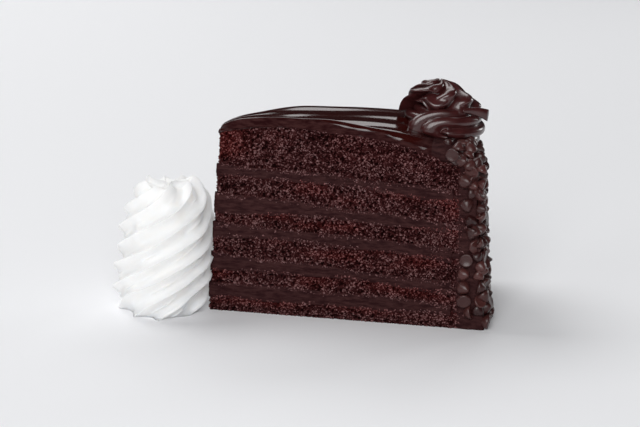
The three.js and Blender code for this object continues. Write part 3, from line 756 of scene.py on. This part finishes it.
(u, v, w), faces = block(GLAZE_STEPS)
v = lerp(v, 0.5 - 0.5 * np.cos(np.pi * v), 0.6)
u = lerp(u, u**2, 0.4)
angle = lerp(-HALF_ANGLE, HALF_ANGLE, v)
r = lerp(point_radius(POINT_HEIGHT) - POINT_OVERHANG, LIP_RADIUS + LIP_OVERLAP, u)
top = glaze_top(r, angle)
ground = on_cake(r, angle, 0 * r)
low = crumb_top(r, angle) + GAP / 2 - crumb_lap(ground) * ((v == 0) | (v == 1) | (u == 0))

# Round the two cut edges, then the nose
down = (1 - w) * (top - low)
soft = edge_softness(r) * (1 + 0.3 * wander(ground, 7, 91))
inward, down = rounded_edge((1 - np.abs(2 * v - 1)) * r * HALF_ANGLE, down, soft)
angle = np.sign(v - 0.5) * (HALF_ANGLE - inward / r)
length = u * TOP_LENGTH
rounded, down = rounded_edge(length, down, NOSE_ROUNDING)
r = r + rounded - length
flat = on_cake(r, angle, top - down)

# Streaks on the cut: they fade out at the top, tuck in at the foot and sink under the lip
sides = side_normals(u, v)
out = (cut_relief(flat) - 0.35 * smoothstep(w, 0.25, 0)) * smoothstep(w, 1, 0.7)
out = out - 0.8 * smoothstep(r, LIP_RADIUS, LIP_RADIUS + 1)
points = flat + out[:, None] * sides

# Matt from a little below the edge, and where the rim's frosting was spread
smear = knife_smear(flat)
matt_from = 0.4 * soft * smoothstep(r, 48, 66) - 0.5 * smoothstep(r, 60, 48)
on_cut = np.linalg.norm(sides, axis=-1) * smoothstep(down + 0.5 * smear, matt_from, matt_from + 0.9)
on_cut = np.maximum(on_cut * smoothstep(r, 8, 13), smoothstep(r + 3 * smear, 94, 103))
piece("poured_glaze", points, [faces], glaze_finish, "glaze", "glaze", cut=on_cut)

# %% [markdown]
# ## The coat of the rim
#
# A coat of frosting covers the rim, flares at its foot and rolls over the top edge to meet the glaze.
# It could be a lathed profile, but the glaze it meets is uneven. So its outside is a section that
# rises up the wall and then round a shoulder, a blunt quarter ellipse that ends at the glaze's own
# height at each angle, and its inside follows the crumb.

# %% The coat's section
COAT_INNER = CRUMB_RADIUS - 0.8
COAT_OUTER = 124.3
COAT_FLARE = 4.8
SHOULDER_HEIGHT = 66
SHOULDER_POWER = 0.85
COAT_BEND = 0.5


def coat_section(u, angle):
    """Radius and height outside: up the wall to COAT_BEND, then round the shoulder to the glaze.

    The wall's radius grows towards its foot by a power of 1.5. On the shoulder, cosine and sine of
    a quarter turn, both to a power below 1, lead from the wall to the lip.
    """
    share = np.clip(u / COAT_BEND, 0, 1)
    turn = np.clip((u - COAT_BEND) / (1 - COAT_BEND), 0, 1) * np.pi / 2
    across = np.maximum(0, np.cos(turn)) ** SHOULDER_POWER
    up = np.sin(turn) ** SHOULDER_POWER
    wall = u <= COAT_BEND
    r = np.where(wall, COAT_OUTER + COAT_FLARE * (1 - share) ** 1.5, lerp(LIP_RADIUS, COAT_OUTER, across))
    top = glaze_top(LIP_RADIUS + 0 * u, angle)
    return r, np.where(wall, SHOULDER_HEIGHT * share, lerp(SHOULDER_HEIGHT, top, up))


def coat_inside(u, angle):
    """Radius and height inside: straight up the crumb's rim, then in along the crumb's top."""
    corner = crumb_top(COAT_INNER + 0 * u, angle) + GAP / 2
    wall = u <= COAT_BEND
    r = np.where(wall, COAT_INNER, lerp(COAT_INNER, LIP_RADIUS, (u - COAT_BEND) / (1 - COAT_BEND)))
    return r, np.where(wall, corner * u / COAT_BEND, crumb_top(r, angle) + GAP / 2)


# %% The coat
COAT_STEPS = (200, 80, 20)
WALL_SOFTNESS = 0.3

(u, v, w), faces = block(COAT_STEPS)
angle = lerp(-HALF_ANGLE, HALF_ANGLE, v)
outer_r, outer_z = coat_section(u, angle)
inner_r, inner_z = coat_inside(u, angle)
thick = np.hypot(outer_r - inner_r, outer_z - inner_z)
over_shoulder = smoothstep(outer_z, SHOULDER_HEIGHT + 4, SHOULDER_HEIGHT + 16)
soft = lerp(WALL_SOFTNESS, edge_softness(outer_r), over_shoulder)
inward, down = rounded_edge((1 - np.abs(2 * v - 1)) * outer_r * HALF_ANGLE, w * thick, soft)
angle = np.sign(v - 0.5) * (HALF_ANGLE - inward / outer_r)
share = down / thick
flat = on_cake(lerp(outer_r, inner_r, share), angle, lerp(outer_z, inner_z, share))

# Lumps on the cut, which give way to the glaze's streaks at the lip and sink beside the crumb
radius = np.hypot(flat[:, 0], flat[:, 1])
lumps = wander(flat, (3, 3, 3), 8) + 0.5 * wander(flat, (1.2, 1.2, 1.2), 9)
beside_crumb = smoothstep(radius, 118, 113.5) * smoothstep(crumb_top(radius, angle) - flat[:, 2], -1, 1)
out = lerp(cut_relief(flat), 0.02 + 0.25 * lumps, smoothstep(radius, LIP_RADIUS, 113))
out = out - 0.7 * beside_crumb
points = flat + out[:, None] * side_normals(0.5 + 0 * u, v)

# The inner edge at the cut laps over the crumb, and nothing goes below the plate
lowest = (w == 1) & ((v == 0) | (v == 1)) & (u > COAT_BEND)
points[:, 2] -= np.where(lowest, crumb_lap(on_cake(radius, angle, 0)), 0)
points[:, 2] = np.maximum(points[:, 2], 0)
piece("rim_frosting", points, [faces], filling_finish, "side_coat", "coat")

# %% [markdown]
# ## The finish of the chips
#
# Baking chips have a dull shine, and no two are quite the same brown: some are bloomed and paler. One
# material each would be hundreds of materials. So the mesh stores one number for each chip, `own`,
# and the colour follows it.

# %% Chocolate chips
CHIP_DARK = (0.022, 0.0048, 0.0048)
CHIP_PALE = (0.070, 0.022, 0.020)

chip_finish, tree, shader = new_finish("chocolate chips", Specular_IOR_Level=0.4, Roughness=0.33)
colour = ramp(tree, stored(tree, "own"), (0.0, CHIP_DARK), (1.0, CHIP_PALE))
tree.links.new(colour, shader.inputs["Base Color"])
bump(tree, shader, unevenness(tree, 900, 2, 0.5), 0.2, 0.0003)

# %% [markdown]
# ## One chip
#
# A chip is a drop: a flat round base with a fine raised rim, and a blunt tip. Blender's Spin could
# turn its outline, but the pieces piped later need rings along a path as well. So one function closes
# any row of rings into a tube with a point at each end, and a chip is its first use.

# %% A tube and the shape of a chip
CHIP_RADIUS = 3.25
CHIP_HEIGHT = 4.4
CHIP_MIDDLE = 0.4
CHIP_SIDES = 16
# From the base to the tip, as shares of the radius and of the height
CHIP_OUTLINE = np.array([(0.78, 0.04), (0.88, 0.0), (1.0, 0.14), (0.88, 0.38), (0.52, 0.74), (0.18, 0.95)])


def tube(rings, start, end):
    """Points and faces of a closed skin over rings, an array (ring, point, xyz), and two end points."""
    count, around = rings.shape[:2]
    ids = np.arange(count * around).reshape(count, around)
    ids = np.concatenate([ids, ids[:, :1]], axis=1)
    points = np.concatenate([rings.reshape(-1, 3), [start], [end]])
    walls = cells_of(ids)[:, ::-1]
    first = np.stack([np.full(around, count * around), ids[0, 1:], ids[0, :-1]], axis=-1)
    last = np.stack([np.full(around, count * around + 1), ids[-1, :-1], ids[-1, 1:]], axis=-1)
    return points, [walls, first, last]


def chip_shape():
    """A chip about its middle: the outline's radius carried round a circle, at the outline's height."""
    turn = 2 * np.pi * np.arange(CHIP_SIDES) / CHIP_SIDES
    r = CHIP_RADIUS * CHIP_OUTLINE[:, :1]
    z = CHIP_HEIGHT * (CHIP_OUTLINE[:, 1:] - CHIP_MIDDLE)
    rings = np.stack([r * np.cos(turn), r * np.sin(turn), z + 0 * turn], axis=-1)
    return tube(rings, [0, 0, z[0, 0]], [0, 0, CHIP_HEIGHT * (1 - CHIP_MIDDLE)])


shape = chip_shape()
print("one chip:", len(shape[0]), "points")

# %% [markdown]
# ## Rows of chips
#
# The chips were pressed on by hand, closely and in no order. A particle system would pile them up in
# one place and leave another bare. Packed rows cover the coat evenly: they lie at an even pitch along
# its section, and every other row is shifted by half a chip. On the wall, a row also ends in a chip
# at either cut, by chance a little further in or out. A small shift of each chip then hides the rows.

# %% Rows up the coat
CHIP_ROW_PITCH = 6.1
CHIP_STAND = 1.3
CHIP_TOP_RADIUS = 117
SECTION_SAMPLES = 400


def chip_rows():
    """Radius and height of each row: where the length walked along the section fills another pitch.

    Each row then stands out of the section by CHIP_STAND, square to it.
    """
    u = np.arange(SECTION_SAMPLES + 1) / SECTION_SAMPLES
    r, z = coat_section(u, 0 * u)
    length = np.hypot(np.diff(r), np.diff(z))
    walked = np.cumsum(length) + CHIP_ROW_PITCH - CHIP_RADIUS
    row = np.floor(walked / CHIP_ROW_PITCH)
    at = np.flatnonzero(np.diff(np.concatenate([[0], row])) > 0)
    out = CHIP_STAND / length[at]
    row_r = r[at + 1] + out * (z[at + 1] - z[at])
    row_z = z[at + 1] - out * (r[at + 1] - r[at])
    return row_r[row_r > CHIP_TOP_RADIUS], row_z[row_r > CHIP_TOP_RADIUS]


# %% Chips along the rows
CHIP_PITCH = 6.8
CHIP_SCATTER = 1.1
CUT_EDGE_RADIUS = 121.8
CUT_EDGE_SWING = 3.6


def chance(i, k):
    """A repeatable random number from 0 to 1 for item i and use k: the far digits of a sine."""
    x = np.sin(i * 12.9898 + k * 78.233 + 4.1) * 43758.5453
    return x - np.floor(x)


def chip_places():
    """Radius, angle and height of each chip of the rows and the cut edges, and its seed."""
    places = []
    for row, (r, z) in enumerate(zip(*chip_rows())):
        columns = int(np.floor(r * 2 * HALF_ANGLE / CHIP_PITCH + 0.5))
        across = (np.arange(columns) + 0.5 + (0.25 if row % 2 else -0.25)) / columns
        places += [(r, lerp(-HALF_ANGLE, HALF_ANGLE, share), z) for share in across]
        if r >= COAT_OUTER:
            for side in (-1, 1):
                edge_r = CUT_EDGE_RADIUS + CUT_EDGE_SWING * (chance(len(places), 11) - 0.5)
                places.append((edge_r, side * HALF_ANGLE, z + 0.25 * side * CHIP_ROW_PITCH))
    places = np.array(places)
    seed = np.arange(len(places)) + 1
    shift = [CHIP_SCATTER * (chance(seed, k) - 0.5) for k in (1, 2, 3)]
    places[:, 0] += shift[0]
    places[:, 1] += 2 * shift[1] / places[:, 0]
    places[:, 2] += shift[2]
    return places, seed


places, seed = chip_places()
print("chips in rows:", len(places))

# %% [markdown]
# ## Small chips that fill in
#
# Loose small chips catch between the large ones along both cuts and on the shoulder beside the
# rosette. A denser grid of rows would crowd the rest of the rim, so these few get rules of their own:
# a column up each cut, a row round the shoulder's edge and a cluster near the rosette's foot.

# %% Chips at the cuts and on the shoulder
COLUMN_CHIPS = 14
COLUMN_PITCH = 5.4
COLUMN_FOOT = 3.2
COLUMN_RADII = (124.0, 127.5)
FIRST_SMALL_SEED = 500
# Each chip of the cluster along the coat's section, and as a share of the half angle
CLUSTER_U = np.array([0.72, 0.78, 0.84, 0.9, 0.8])
CLUSTER_SHARES = np.array([0.9, 0.84, 0.9, 0.82, 0.72])


def column_up_cut(side):
    """A column at an even pitch, by chance further in or out, that flares with the coat's foot."""
    z = COLUMN_FOOT + COLUMN_PITCH * np.arange(COLUMN_CHIPS)
    outwards = chance(np.arange(COLUMN_CHIPS) + 40 * (side + 2), 12)
    r = lerp(*COLUMN_RADII, outwards) + 1.5 * smoothstep(z, 30, 0)
    return np.stack([r, side * HALF_ANGLE + 0 * r, z], axis=-1)


def row_round_shoulder(side):
    """A row along the coat's section at the cut, sunk into it by 1 mm sideways and 2 mm down."""
    u = np.linspace(0.52, 0.86, 7)
    r, z = coat_section(u, side * HALF_ANGLE + 0 * u)
    return np.stack([r - 1.0, side * HALF_ANGLE + 0 * u, z - 2.0], axis=-1)


def cluster_by_rosette(side):
    """A few chips on the shoulder, a little inside the cut and 0.6 mm above the coat."""
    angle = side * HALF_ANGLE * CLUSTER_SHARES
    r, z = coat_section(CLUSTER_U, angle)
    return np.stack([r, angle, z + 0.6], axis=-1)


rules = (column_up_cut, row_round_shoulder, cluster_by_rosette)
small = np.concatenate([rule(side) for side in (-1, 1) for rule in rules])
small_seed = FIRST_SMALL_SEED + np.arange(len(small))
small[:, 0] += 1.6 * (chance(small_seed, 1) - 0.5)
small[:, 2] += 2.2 * (chance(small_seed, 3) - 0.5)
places = np.concatenate([places, small])
seed = np.concatenate([seed, small_seed])
print("small chips:", len(small))

# %% [markdown]
# ## Pressing the chips in
#
# A pressed chip lies with its tip or its base outwards, more or less. Each could be an object of its
# own, but hundreds of objects are slow to handle, and an instance is lost when the part is exported.
# So all copies are turned and moved in one array and become a single piece.

# %% Directions and turns
CHIP_TURN = 1.7
TIP_OUT_SHARE = 0.55


def outward(places):
    """Directions out of the coat: radial on the wall, up on the shoulder, sideways at a cut."""
    r, angle, z = places.T
    at_cut = np.sign(angle) * smoothstep(np.abs(angle) * r, r * HALF_ANGLE - 4, r * HALF_ANGLE)
    up = smoothstep(z, SHOULDER_HEIGHT - 4, SHOULDER_HEIGHT + 16)
    side = 1.6 * at_cut * smoothstep(r, 127, 120)
    radial = 1.02 - up
    x = radial * np.cos(angle) - side * np.sin(angle)
    y = radial * np.sin(angle) + side * np.cos(angle)
    return np.stack([x, y, up], axis=-1)


def turned(directions, seed):
    """Rotation matrices: the third axis is the direction or its opposite plus a random tilt."""
    flip = np.where(chance(seed, 9) < TIP_OUT_SHARE, 1, -1)[:, None]
    wild = np.stack([chance(seed, k) - 0.5 for k in (4, 5, 6)], axis=-1)
    axis = directions / np.linalg.norm(directions, axis=-1, keepdims=True) * flip + CHIP_TURN * wild
    axis = axis / np.linalg.norm(axis, axis=-1, keepdims=True)
    first = np.cross(axis, wild[:, ::-1] + [0.01, 0.2, 0.7])
    first = first / np.linalg.norm(first, axis=-1, keepdims=True)
    return np.stack([first, np.cross(axis, first), axis], axis=-1)


# %% Copies as one piece
def pressed(shape, places, directions, seed, sizes):
    """Copies of a shape as one: its points turned and sized by each seed, plus each place."""
    points, faces = shape
    middles = on_cake(places[:, 0], places[:, 1], places[:, 2])
    copies = np.einsum("nij,pj->npi", turned(directions, seed), points) * sizes[:, None, None]
    copies = copies + middles[:, None, :]
    step = (np.arange(len(places)) * len(points))[:, None, None]
    grown = [(group[None] + step).reshape(-1, group.shape[1]) for group in faces]
    return copies.reshape(-1, 3), grown


# %% All the chips
LOWEST_CHIP = 2.6
PROUD_OF_CUT = 1.2
CUT_EDGE_ANGLE = 0.02
CUT_EDGE_END = 122

large_size = 0.92 + 0.16 * chance(seed, 7)
small_size = 0.7 + 0.3 * chance(seed, 7)
sizes = np.where(seed < FIRST_SMALL_SEED, large_size, small_size)
kept = places[:, 2] > LOWEST_CHIP
places, seed, sizes = places[kept], seed[kept], sizes[kept]
directions = outward(places)

# The innermost chips at a cut stand a little out of it
at_cut = np.abs(np.abs(places[:, 1]) - HALF_ANGLE) < CUT_EDGE_ANGLE
at_edge = at_cut & (places[:, 0] < CUT_EDGE_END)
places[:, 1] += np.where(at_edge, np.sign(places[:, 1]) * PROUD_OF_CUT / places[:, 0], 0)
points, faces = pressed(shape, places, directions, seed, sizes)
points[:, 2] = np.maximum(points[:, 2], 0)
own = np.repeat(chance(seed, 8), len(shape[0]))
print("chips in all:", len(places))
piece("rim_chips", points, faces, chip_finish, "side_coat", "coat", own=own)

# %% [markdown]
# ## The finish of the rosette
#
# Piped chocolate frosting has a satin gloss with a faint wet skin on it. One gloss alone would look
# like either wax or lacquer, so a soft base shine lies under a thin and clearer coat.

# %% Piped frosting
ROSETTE_DARK = (0.034, 0.0066, 0.0068)
ROSETTE_LIGHT = (0.056, 0.0125, 0.0125)

rosette_finish, tree, shader = new_finish(
    "piped chocolate frosting", Specular_IOR_Level=0.42, Roughness=0.30, Coat_Weight=0.4, Coat_Roughness=0.13
)
colour = ramp(tree, unevenness(tree, 220, 3, 0.6), (0.3, ROSETTE_DARK), (0.7, ROSETTE_LIGHT))
tree.links.new(colour, shader.inputs["Base Color"])
bump(tree, shader, unevenness(tree, 700, 3, 0.6), 0.10, 0.0003)

# %% [markdown]
# ## The rosette's rope
#
# The rosette was piped through a star nozzle, so its rope has round lobes with sharp creases. The
# rope turns over at its start, lies down on the rim and coils once round until it slips under the
# dome. A curve with a star as its bevel could do it, but such a bevel can't be squashed where the
# rope turns over. So rings of star shape are carried along a path, square to it, and the start is
# stretched and flattened afterwards.

# %% The path of the rope
ROPE_HEIGHT = 6.6
TURN_ANGLE = 1.03 * np.pi
TURN_RADIUS = 6
COIL_RADIUS = 10.4
COIL_END_RADIUS = 6.5
START_PIVOT = (-1.0, 5.9)


def coil(s):
    """Middle of the rope, its direction and its side, s millimetres from where it lies flat.

    Before that it turns over about a pivot, from pointing back along the ground. After it, it runs
    round the coil, whose radius shrinks near the end so that the rope slips under the dome.
    """
    over = np.clip(s / TURN_RADIUS, -TURN_ANGLE, 0)
    heading = np.maximum(s, 0) / COIL_RADIUS
    radius = lerp(COIL_RADIUS, COIL_END_RADIUS, smoothstep(heading, 3.8, 5.8))
    lift = ROPE_HEIGHT - START_PIVOT[1]
    x = START_PIVOT[0] + lift * np.sin(over) + radius * np.sin(heading)
    middle = np.stack([x, -radius * np.cos(heading), START_PIVOT[1] + lift * np.cos(over)], axis=-1)
    ahead = np.stack([np.cos(over) * np.cos(heading), np.sin(heading), -np.sin(over)], axis=-1)
    return middle, ahead, np.stack([-np.sin(heading), np.cos(heading), 0 * s], axis=-1)


# %% Star rings along it
ROPE_POINTS = 216
LOBE_POWER = 1.4


def lobes(angle, count, depth):
    """Share of the radius round a star: a sine's size makes round lobes with sharp creases."""
    return 1 + 0.4 * depth - depth * (1 - np.abs(np.sin(count * angle / 2))) ** LOBE_POWER


def rope(s, radius, count, depth, phase):
    """Star rings square to the coil at each s: the star's reach along the rope's side and its rise."""
    middle, ahead, side = coil(s)
    rise = np.cross(ahead, side)
    a = 2 * np.pi * np.arange(ROPE_POINTS) / ROPE_POINTS
    length = radius[:, None] * lobes(a + phase[:, None], count, depth)
    across = (length * np.cos(a))[..., None] * side[:, None]
    upward = (length * np.sin(a))[..., None] * rise[:, None]
    return middle[:, None] + across + upward


# %% The rosette's place on the rim
ROSETTE_RADIUS = 110
ROSETTE_BASE = 80
ROSETTE_HEIGHT = 27
ROSETTE_TILT = np.radians(6)


def placed_rosette(points):
    """From the rosette's own frame to its place on the rim: tipped outwards about its middle."""
    x, y, z = points[:, 0], points[:, 1], points[:, 2] - ROSETTE_HEIGHT / 2
    cos, sin = np.cos(ROSETTE_TILT), np.sin(ROSETTE_TILT)
    moved = np.stack([x * cos + z * sin, y, z * cos - x * sin], axis=-1)
    return moved + [ROSETTE_RADIUS, 0, ROSETTE_BASE + ROSETTE_HEIGHT / 2]


# %% The rope
ROPE_RADIUS = 8.1
ROPE_LOBES = 8
ROPE_LOBE_DEPTH = 0.3
ROPE_TWIST = 0.012
COIL_LENGTH = 62
START_STRETCH = 1.75
START_SQUASH = 0.6

s = np.linspace(-TURN_ANGLE * TURN_RADIUS, COIL_LENGTH, 350)
thin_end = lerp(1, 0.9, smoothstep(s, 30, COIL_LENGTH))
thin_start = lerp(0.88, 1, smoothstep(s, -17, -8))
radius = ROPE_RADIUS * thin_end * thin_start
rings = rope(s, radius, ROPE_LOBES, ROPE_LOBE_DEPTH, 0.25 + ROPE_TWIST * s)
x, z = rings[..., 0], rings[..., 2]

# Behind the pivot the start is stretched backwards, and round it the rope's lower half is flattened
behind = (s < 0)[:, None] & (x < START_PIVOT[0])
near_start = smoothstep(x, START_PIVOT[0] + 7, START_PIVOT[0] - 1) * smoothstep(s, 14, 4)[:, None]
squash = lerp(1, START_SQUASH, near_start)
rings[..., 0] = np.where(behind, START_PIVOT[0] + START_STRETCH * (x - START_PIVOT[0]), x)
rings[..., 2] = np.where(z < START_PIVOT[1], lerp(START_PIVOT[1], z, squash), z)
points, faces = tube(rings, rings[0].mean(axis=0), rings[-1].mean(axis=0))
piece("rosette_rope", placed_rosette(points), faces, rosette_finish, "rosette", "rosette")

# %% [markdown]
# ## The rosette's dome
#
# A last push of the nozzle heaps a lobed dome on the coil. It twists as it rises, dents where the
# flow stuttered, and leaves a hollow at its foot where the rope comes out. Sculpting would give it
# more life but could not be repeated. So it is a function of two parameters: t climbs from the foot
# to the tip, and a runs round it.

# %% The dome
DOME_LOBES = 7
DOME_RADIUS = 16.1
DOME_FOOT = (-1.5, 3.5)
DOME_TIP = (-4.2, 0)
DOME_BASE = 9
DOME_LOBE_DEPTH = 0.36
DOME_CAPS = (14, ROSETTE_HEIGHT - 0.6)
HOLLOW_DIRECTION = np.radians(214)
HOLLOW_LIFT = 5.5
CREASE_DEPTH = 1.3
DENT_DEPTH = 0.6

t = np.linspace(0, 1, 110)[:-1, None]
a = 2 * np.pi * np.arange(210) / 210
spin = a + t + 0.7 * t**4
crease = 1 - np.abs(np.sin(DOME_LOBES / 2 * a))
lobe_number = np.floor(DOME_LOBES / 2 * a / np.pi)
dents = (1 - crease) * np.sin(2 * np.pi * 2.3 * t + 2.4 * lobe_number) * smoothstep(t, 1, 0.8)
bare = DOME_RADIUS * (1 - t**2.2) ** 0.68
length = bare * lobes(a + 0 * t, DOME_LOBES, DOME_LOBE_DEPTH) * (1 + 0.06 * dents)
from_hollow = np.abs((spin - HOLLOW_DIRECTION + np.pi) % (2 * np.pi) - np.pi)
base = DOME_BASE + 2.5 * smoothstep(np.sin(spin), 0.2, -0.6) + HOLLOW_LIFT * smoothstep(from_hollow, 0.7, 0.3)
z = lerp(base, ROSETTE_HEIGHT, t) - (CREASE_DEPTH * crease - DENT_DEPTH * dents) * smoothstep(t, 0.5, 0.85)
x = length * np.cos(spin) + lerp(DOME_FOOT[0], DOME_TIP[0], t**2)
y = lerp(0.8, 1, smoothstep(t, 0, 0.7)) * length * np.sin(spin) + lerp(DOME_FOOT[1], DOME_TIP[1], t)
rings = np.stack([x, y, z], axis=-1)
points, faces = tube(rings, [*DOME_FOOT, DOME_CAPS[0]], [*DOME_TIP, DOME_CAPS[1]])
piece("rosette_top", placed_rosette(points), faces, rosette_finish, "rosette", "rosette")

# %% [markdown]
# ## The rosette's tail
#
# Where the nozzle was pulled away, a torn tail of frosting sticks out over the rim. It is too small
# for a path of its own: a short bar whose rings grow thicker and rise in a low arch is enough.

# %% The tail
TAIL_START = (6.0, -12.0, 15.6)
TAIL_END = (18.0, -7.0, 13.6)
TAIL_CAPS = ([5.8, -12.0, 15.6], [17.7, -7.0, 13.6])
TAIL_ARCH = 0.8

t = np.linspace(0, 1, 24)[:, None]
a = 2 * np.pi * np.arange(32) / 32
x = lerp(TAIL_START[0], TAIL_END[0], t) + 0.5 * np.cos(a)
y = lerp(TAIL_START[1], TAIL_END[1], t) + lerp(0.9, 1.3, t) * np.cos(a)
z = lerp(TAIL_START[2], TAIL_END[2], t) + lerp(1.0, 2.7, t) * np.sin(a) + TAIL_ARCH * np.sin(np.pi * t)
points, faces = tube(np.stack([x, y, z], axis=-1), *TAIL_CAPS)
piece("rosette_tail", placed_rosette(points), faces, rosette_finish, "rosette", "rosette")

# %% [markdown]
# ## The finish of the cream
#
# Whipped cream is full of tiny bubbles: light goes in, wanders and comes out again, so its shadows
# are never dark. Plain white paint would look like plaster. Subsurface scattering over some
# millimetres lets the thin crests glow and softens the valleys.

# %% Whipped cream
cream_finish, tree, shader = new_finish(
    "whipped cream",
    Base_Color=(0.88, 0.88, 0.875, 1),
    Roughness=0.5,
    Subsurface_Weight=1.0,
    Subsurface_Radius=(1.0, 0.95, 0.9),
    Subsurface_Scale=0.007,
)
bump(tree, shader, unevenness(tree, 500, 3, 0.5), 0.12, 0.0006)

# %% [markdown]
# ## The swirl of cream
#
# A star nozzle held upright and turned slowly gives a column with eight sharp flutes that climb round
# it, thin crests between wide soft valleys, and finer ridges on their sides. A lathe with a Screw
# modifier would make every flute the same. So the column is again a function of the height and the
# angle: a belly that tapers to a dome, times the flutes, plus a wander that follows them, and the
# crests stand up as a crown at the top.

# %% The cream's outline
CREAM_CENTRE = (-20.3, 5.3)
CREAM_HEIGHT = 60.5
CREAM_BELLY = 23.6
CREAM_BELLY_HEIGHT = 16
CREAM_FOOT = 19.5
CREAM_TAPER = 0.15
CREAM_DOME = 6


def cream_radius(z):
    """The belly's radius, tapered and closed by a dome above the belly and drawn in below it."""
    high = np.maximum(0, (z - CREAM_BELLY_HEIGHT) / (CREAM_HEIGHT - CREAM_BELLY_HEIGHT))
    low = np.maximum(0, 1 - z / CREAM_BELLY_HEIGHT)
    dome = (1 - CREAM_TAPER * high) * (1 - high**CREAM_DOME) ** 0.4
    return CREAM_BELLY * dome - (CREAM_BELLY - CREAM_FOOT) * low**2


print("the cream is", 2 * CREAM_BELLY, "mm wide and", CREAM_HEIGHT, "mm tall")

# %% The cream with its flutes
CREAM_FLUTES = 8
CREAM_PITCH = 75
CREAM_LEAN = 4.4
FLUTE_DEPTH = 0.16
SIDE_RIDGE = 1.0
UNEVEN_REACH = 1.3
NOISE_RADIUS = 20

t = np.linspace(0, 1, 210)[:-1, None]
a = 2 * np.pi * np.arange(450) / 450
z = CREAM_HEIGHT * (1 - (1 - t) ** 1.6)
around = a + 0 * z
twist = 2 * np.pi * z / CREAM_PITCH
spin = a + twist + 0.09 * wander(on_cake(NOISE_RADIUS + 0 * around, around, z), 11, 93)
crest = (1 - np.abs(np.sin(CREAM_FLUTES / 2 * a))) ** 1.4
uneven = wander(on_cake(NOISE_RADIUS + 0 * spin, spin, 0.6 * z), 8, 90)
ridges = (1 - np.abs(np.sin(CREAM_FLUTES * a + 0.7))) ** 2 * smoothstep(uneven, -0.3, 0.4)
length = cream_radius(z) * (1 - FLUTE_DEPTH * (1 - crest)) + UNEVEN_REACH * uneven + SIDE_RIDGE * ridges
crown = 1.6 + 2.5 * wander(on_cake(NOISE_RADIUS + 0 * spin, spin, 0 * z), 13, 94)
lift = 1.4 * smoothstep(z, 0, 10) + crown * smoothstep(z, 48, 58)
sunk_top = 3.5 * smoothstep(z, CREAM_HEIGHT - 2, CREAM_HEIGHT)
x = CREAM_CENTRE[0] + CREAM_LEAN * smoothstep(z, 0, 55) + length * np.cos(spin)
y = CREAM_CENTRE[1] + length * np.sin(spin)
rings = np.stack([x, y, z + lift * crest - sunk_top], axis=-1)
peak = [CREAM_CENTRE[0] + CREAM_LEAN + 1, CREAM_CENTRE[1], CREAM_HEIGHT - 4]
points, faces = tube(rings, [*CREAM_CENTRE, 0], peak)
piece("cream_swirl", points, faces, cream_finish, "whipped_cream", "cream")

# %% [markdown]
# ## Floor and room
#
# The cake stands on a plain pale floor, large enough to fill the view. A bright world would light
# the dark crumb from all sides and grey it, so the room itself is nearly dark and the lamps do the
# work.

# %% Floor and world
floor_finish, tree, shader = new_finish("pale floor", Base_Color=(0.86, 0.865, 0.885, 1), Roughness=0.7)
floor_mesh = bpy.data.meshes.new("floor")
floor_mesh.from_pydata([(-4, -3, 0), (4, -3, 0), (4, 2.2, 0), (-4, 2.2, 0)], [], [(0, 1, 2, 3)])
floor_mesh.materials.append(floor_finish)
floor = bpy.data.objects.new("floor", floor_mesh)
bpy.context.scene.collection.objects.link(floor)

world = bpy.data.worlds.new("soft room")
world.use_nodes = True
world.node_tree.nodes["Background"].inputs["Color"].default_value = (0.9, 0.92, 1.0, 1)
world.node_tree.nodes["Background"].inputs["Strength"].default_value = 0.012
bpy.context.scene.world = world

# %% [markdown]
# ## Lamps
#
# Dark glossy chocolate shows little colour of its own: it shows what it mirrors. One bright lamp
# would leave it black with a single hot spot. So a broad lamp in front lights the cut, and a weaker
# one on the left shapes it. A wide panel hangs behind the cake only for the ridges of the glaze to
# mirror, with a low card under it for the glaze's thin nose. A small lamp at the back right edges the
# rosette and the chips, and one high up lights the floor behind.

# %% The lamps
def lamp(name, place, aim, width, power, height=None):
    """A rectangular lamp at a place, turned to its aim, as high as it is wide unless told otherwise."""
    light = bpy.data.lights.new(name, "AREA")
    light.shape = "RECTANGLE"
    light.size = width
    light.size_y = height or width
    light.energy = power
    made = bpy.data.objects.new(name, light)
    made.location = place
    direction = np.array(aim) - np.array(place)
    yaw = np.arctan2(direction[0], -direction[1])
    tilt = np.arctan2(np.hypot(direction[0], direction[1]), -direction[2])
    made.rotation_euler = (tilt, 0, yaw + np.pi)
    bpy.context.scene.collection.objects.link(made)
    print(f"lamp: {name}, {power} W")


lamp("key on the left", (-1.25, -0.8, 1.0), (0, 0, 0.05), 0.9, 3)
lamp("fill in front", (-0.3, -1.9, 1.15), (0, 0, 0.05), 1.4, 39)
lamp("top", (-1.3, 0.9, 2.0), (-0.5, 0.8, 0), 1.4, 28)
lamp("panel behind", (-0.1, 1.5, 1.47), (-0.1, 0, 0.09), 2.0, 12.4, 0.76)
lamp("back right", (1.25, 0.75, 0.38), (0, 0, 0.09), 0.4, 3.5, 0.4)
lamp("low card behind", (-0.34, 1.5, 0.28), (-0.1, 0, 0.09), 0.6, 0.35, 0.2)

# %% [markdown]
# ## Camera
#
# The slice is seen from the front and a little from above, with a long lens that keeps its upright
# edges nearly parallel. A wide lens close by would show more of the top but make the point loom. The
# Standard view transform shows the colours as they are, where the default one would grey the browns.

# %% The camera
CAMERA_PLACE = (-0.0541, -0.6851, 0.2420)
CAMERA_TILT = 74
CAMERA_PAN = -3.0986

camera_data = bpy.data.cameras.new("camera")
camera_data.lens = 87.75
camera_data.sensor_width = 36
camera = bpy.data.objects.new("camera", camera_data)
camera.location = CAMERA_PLACE
camera.rotation_euler = (np.radians(CAMERA_TILT), 0, np.radians(CAMERA_PAN))
bpy.context.scene.collection.objects.link(camera)
bpy.context.scene.camera = camera
bpy.context.scene.view_settings.view_transform = "Standard"
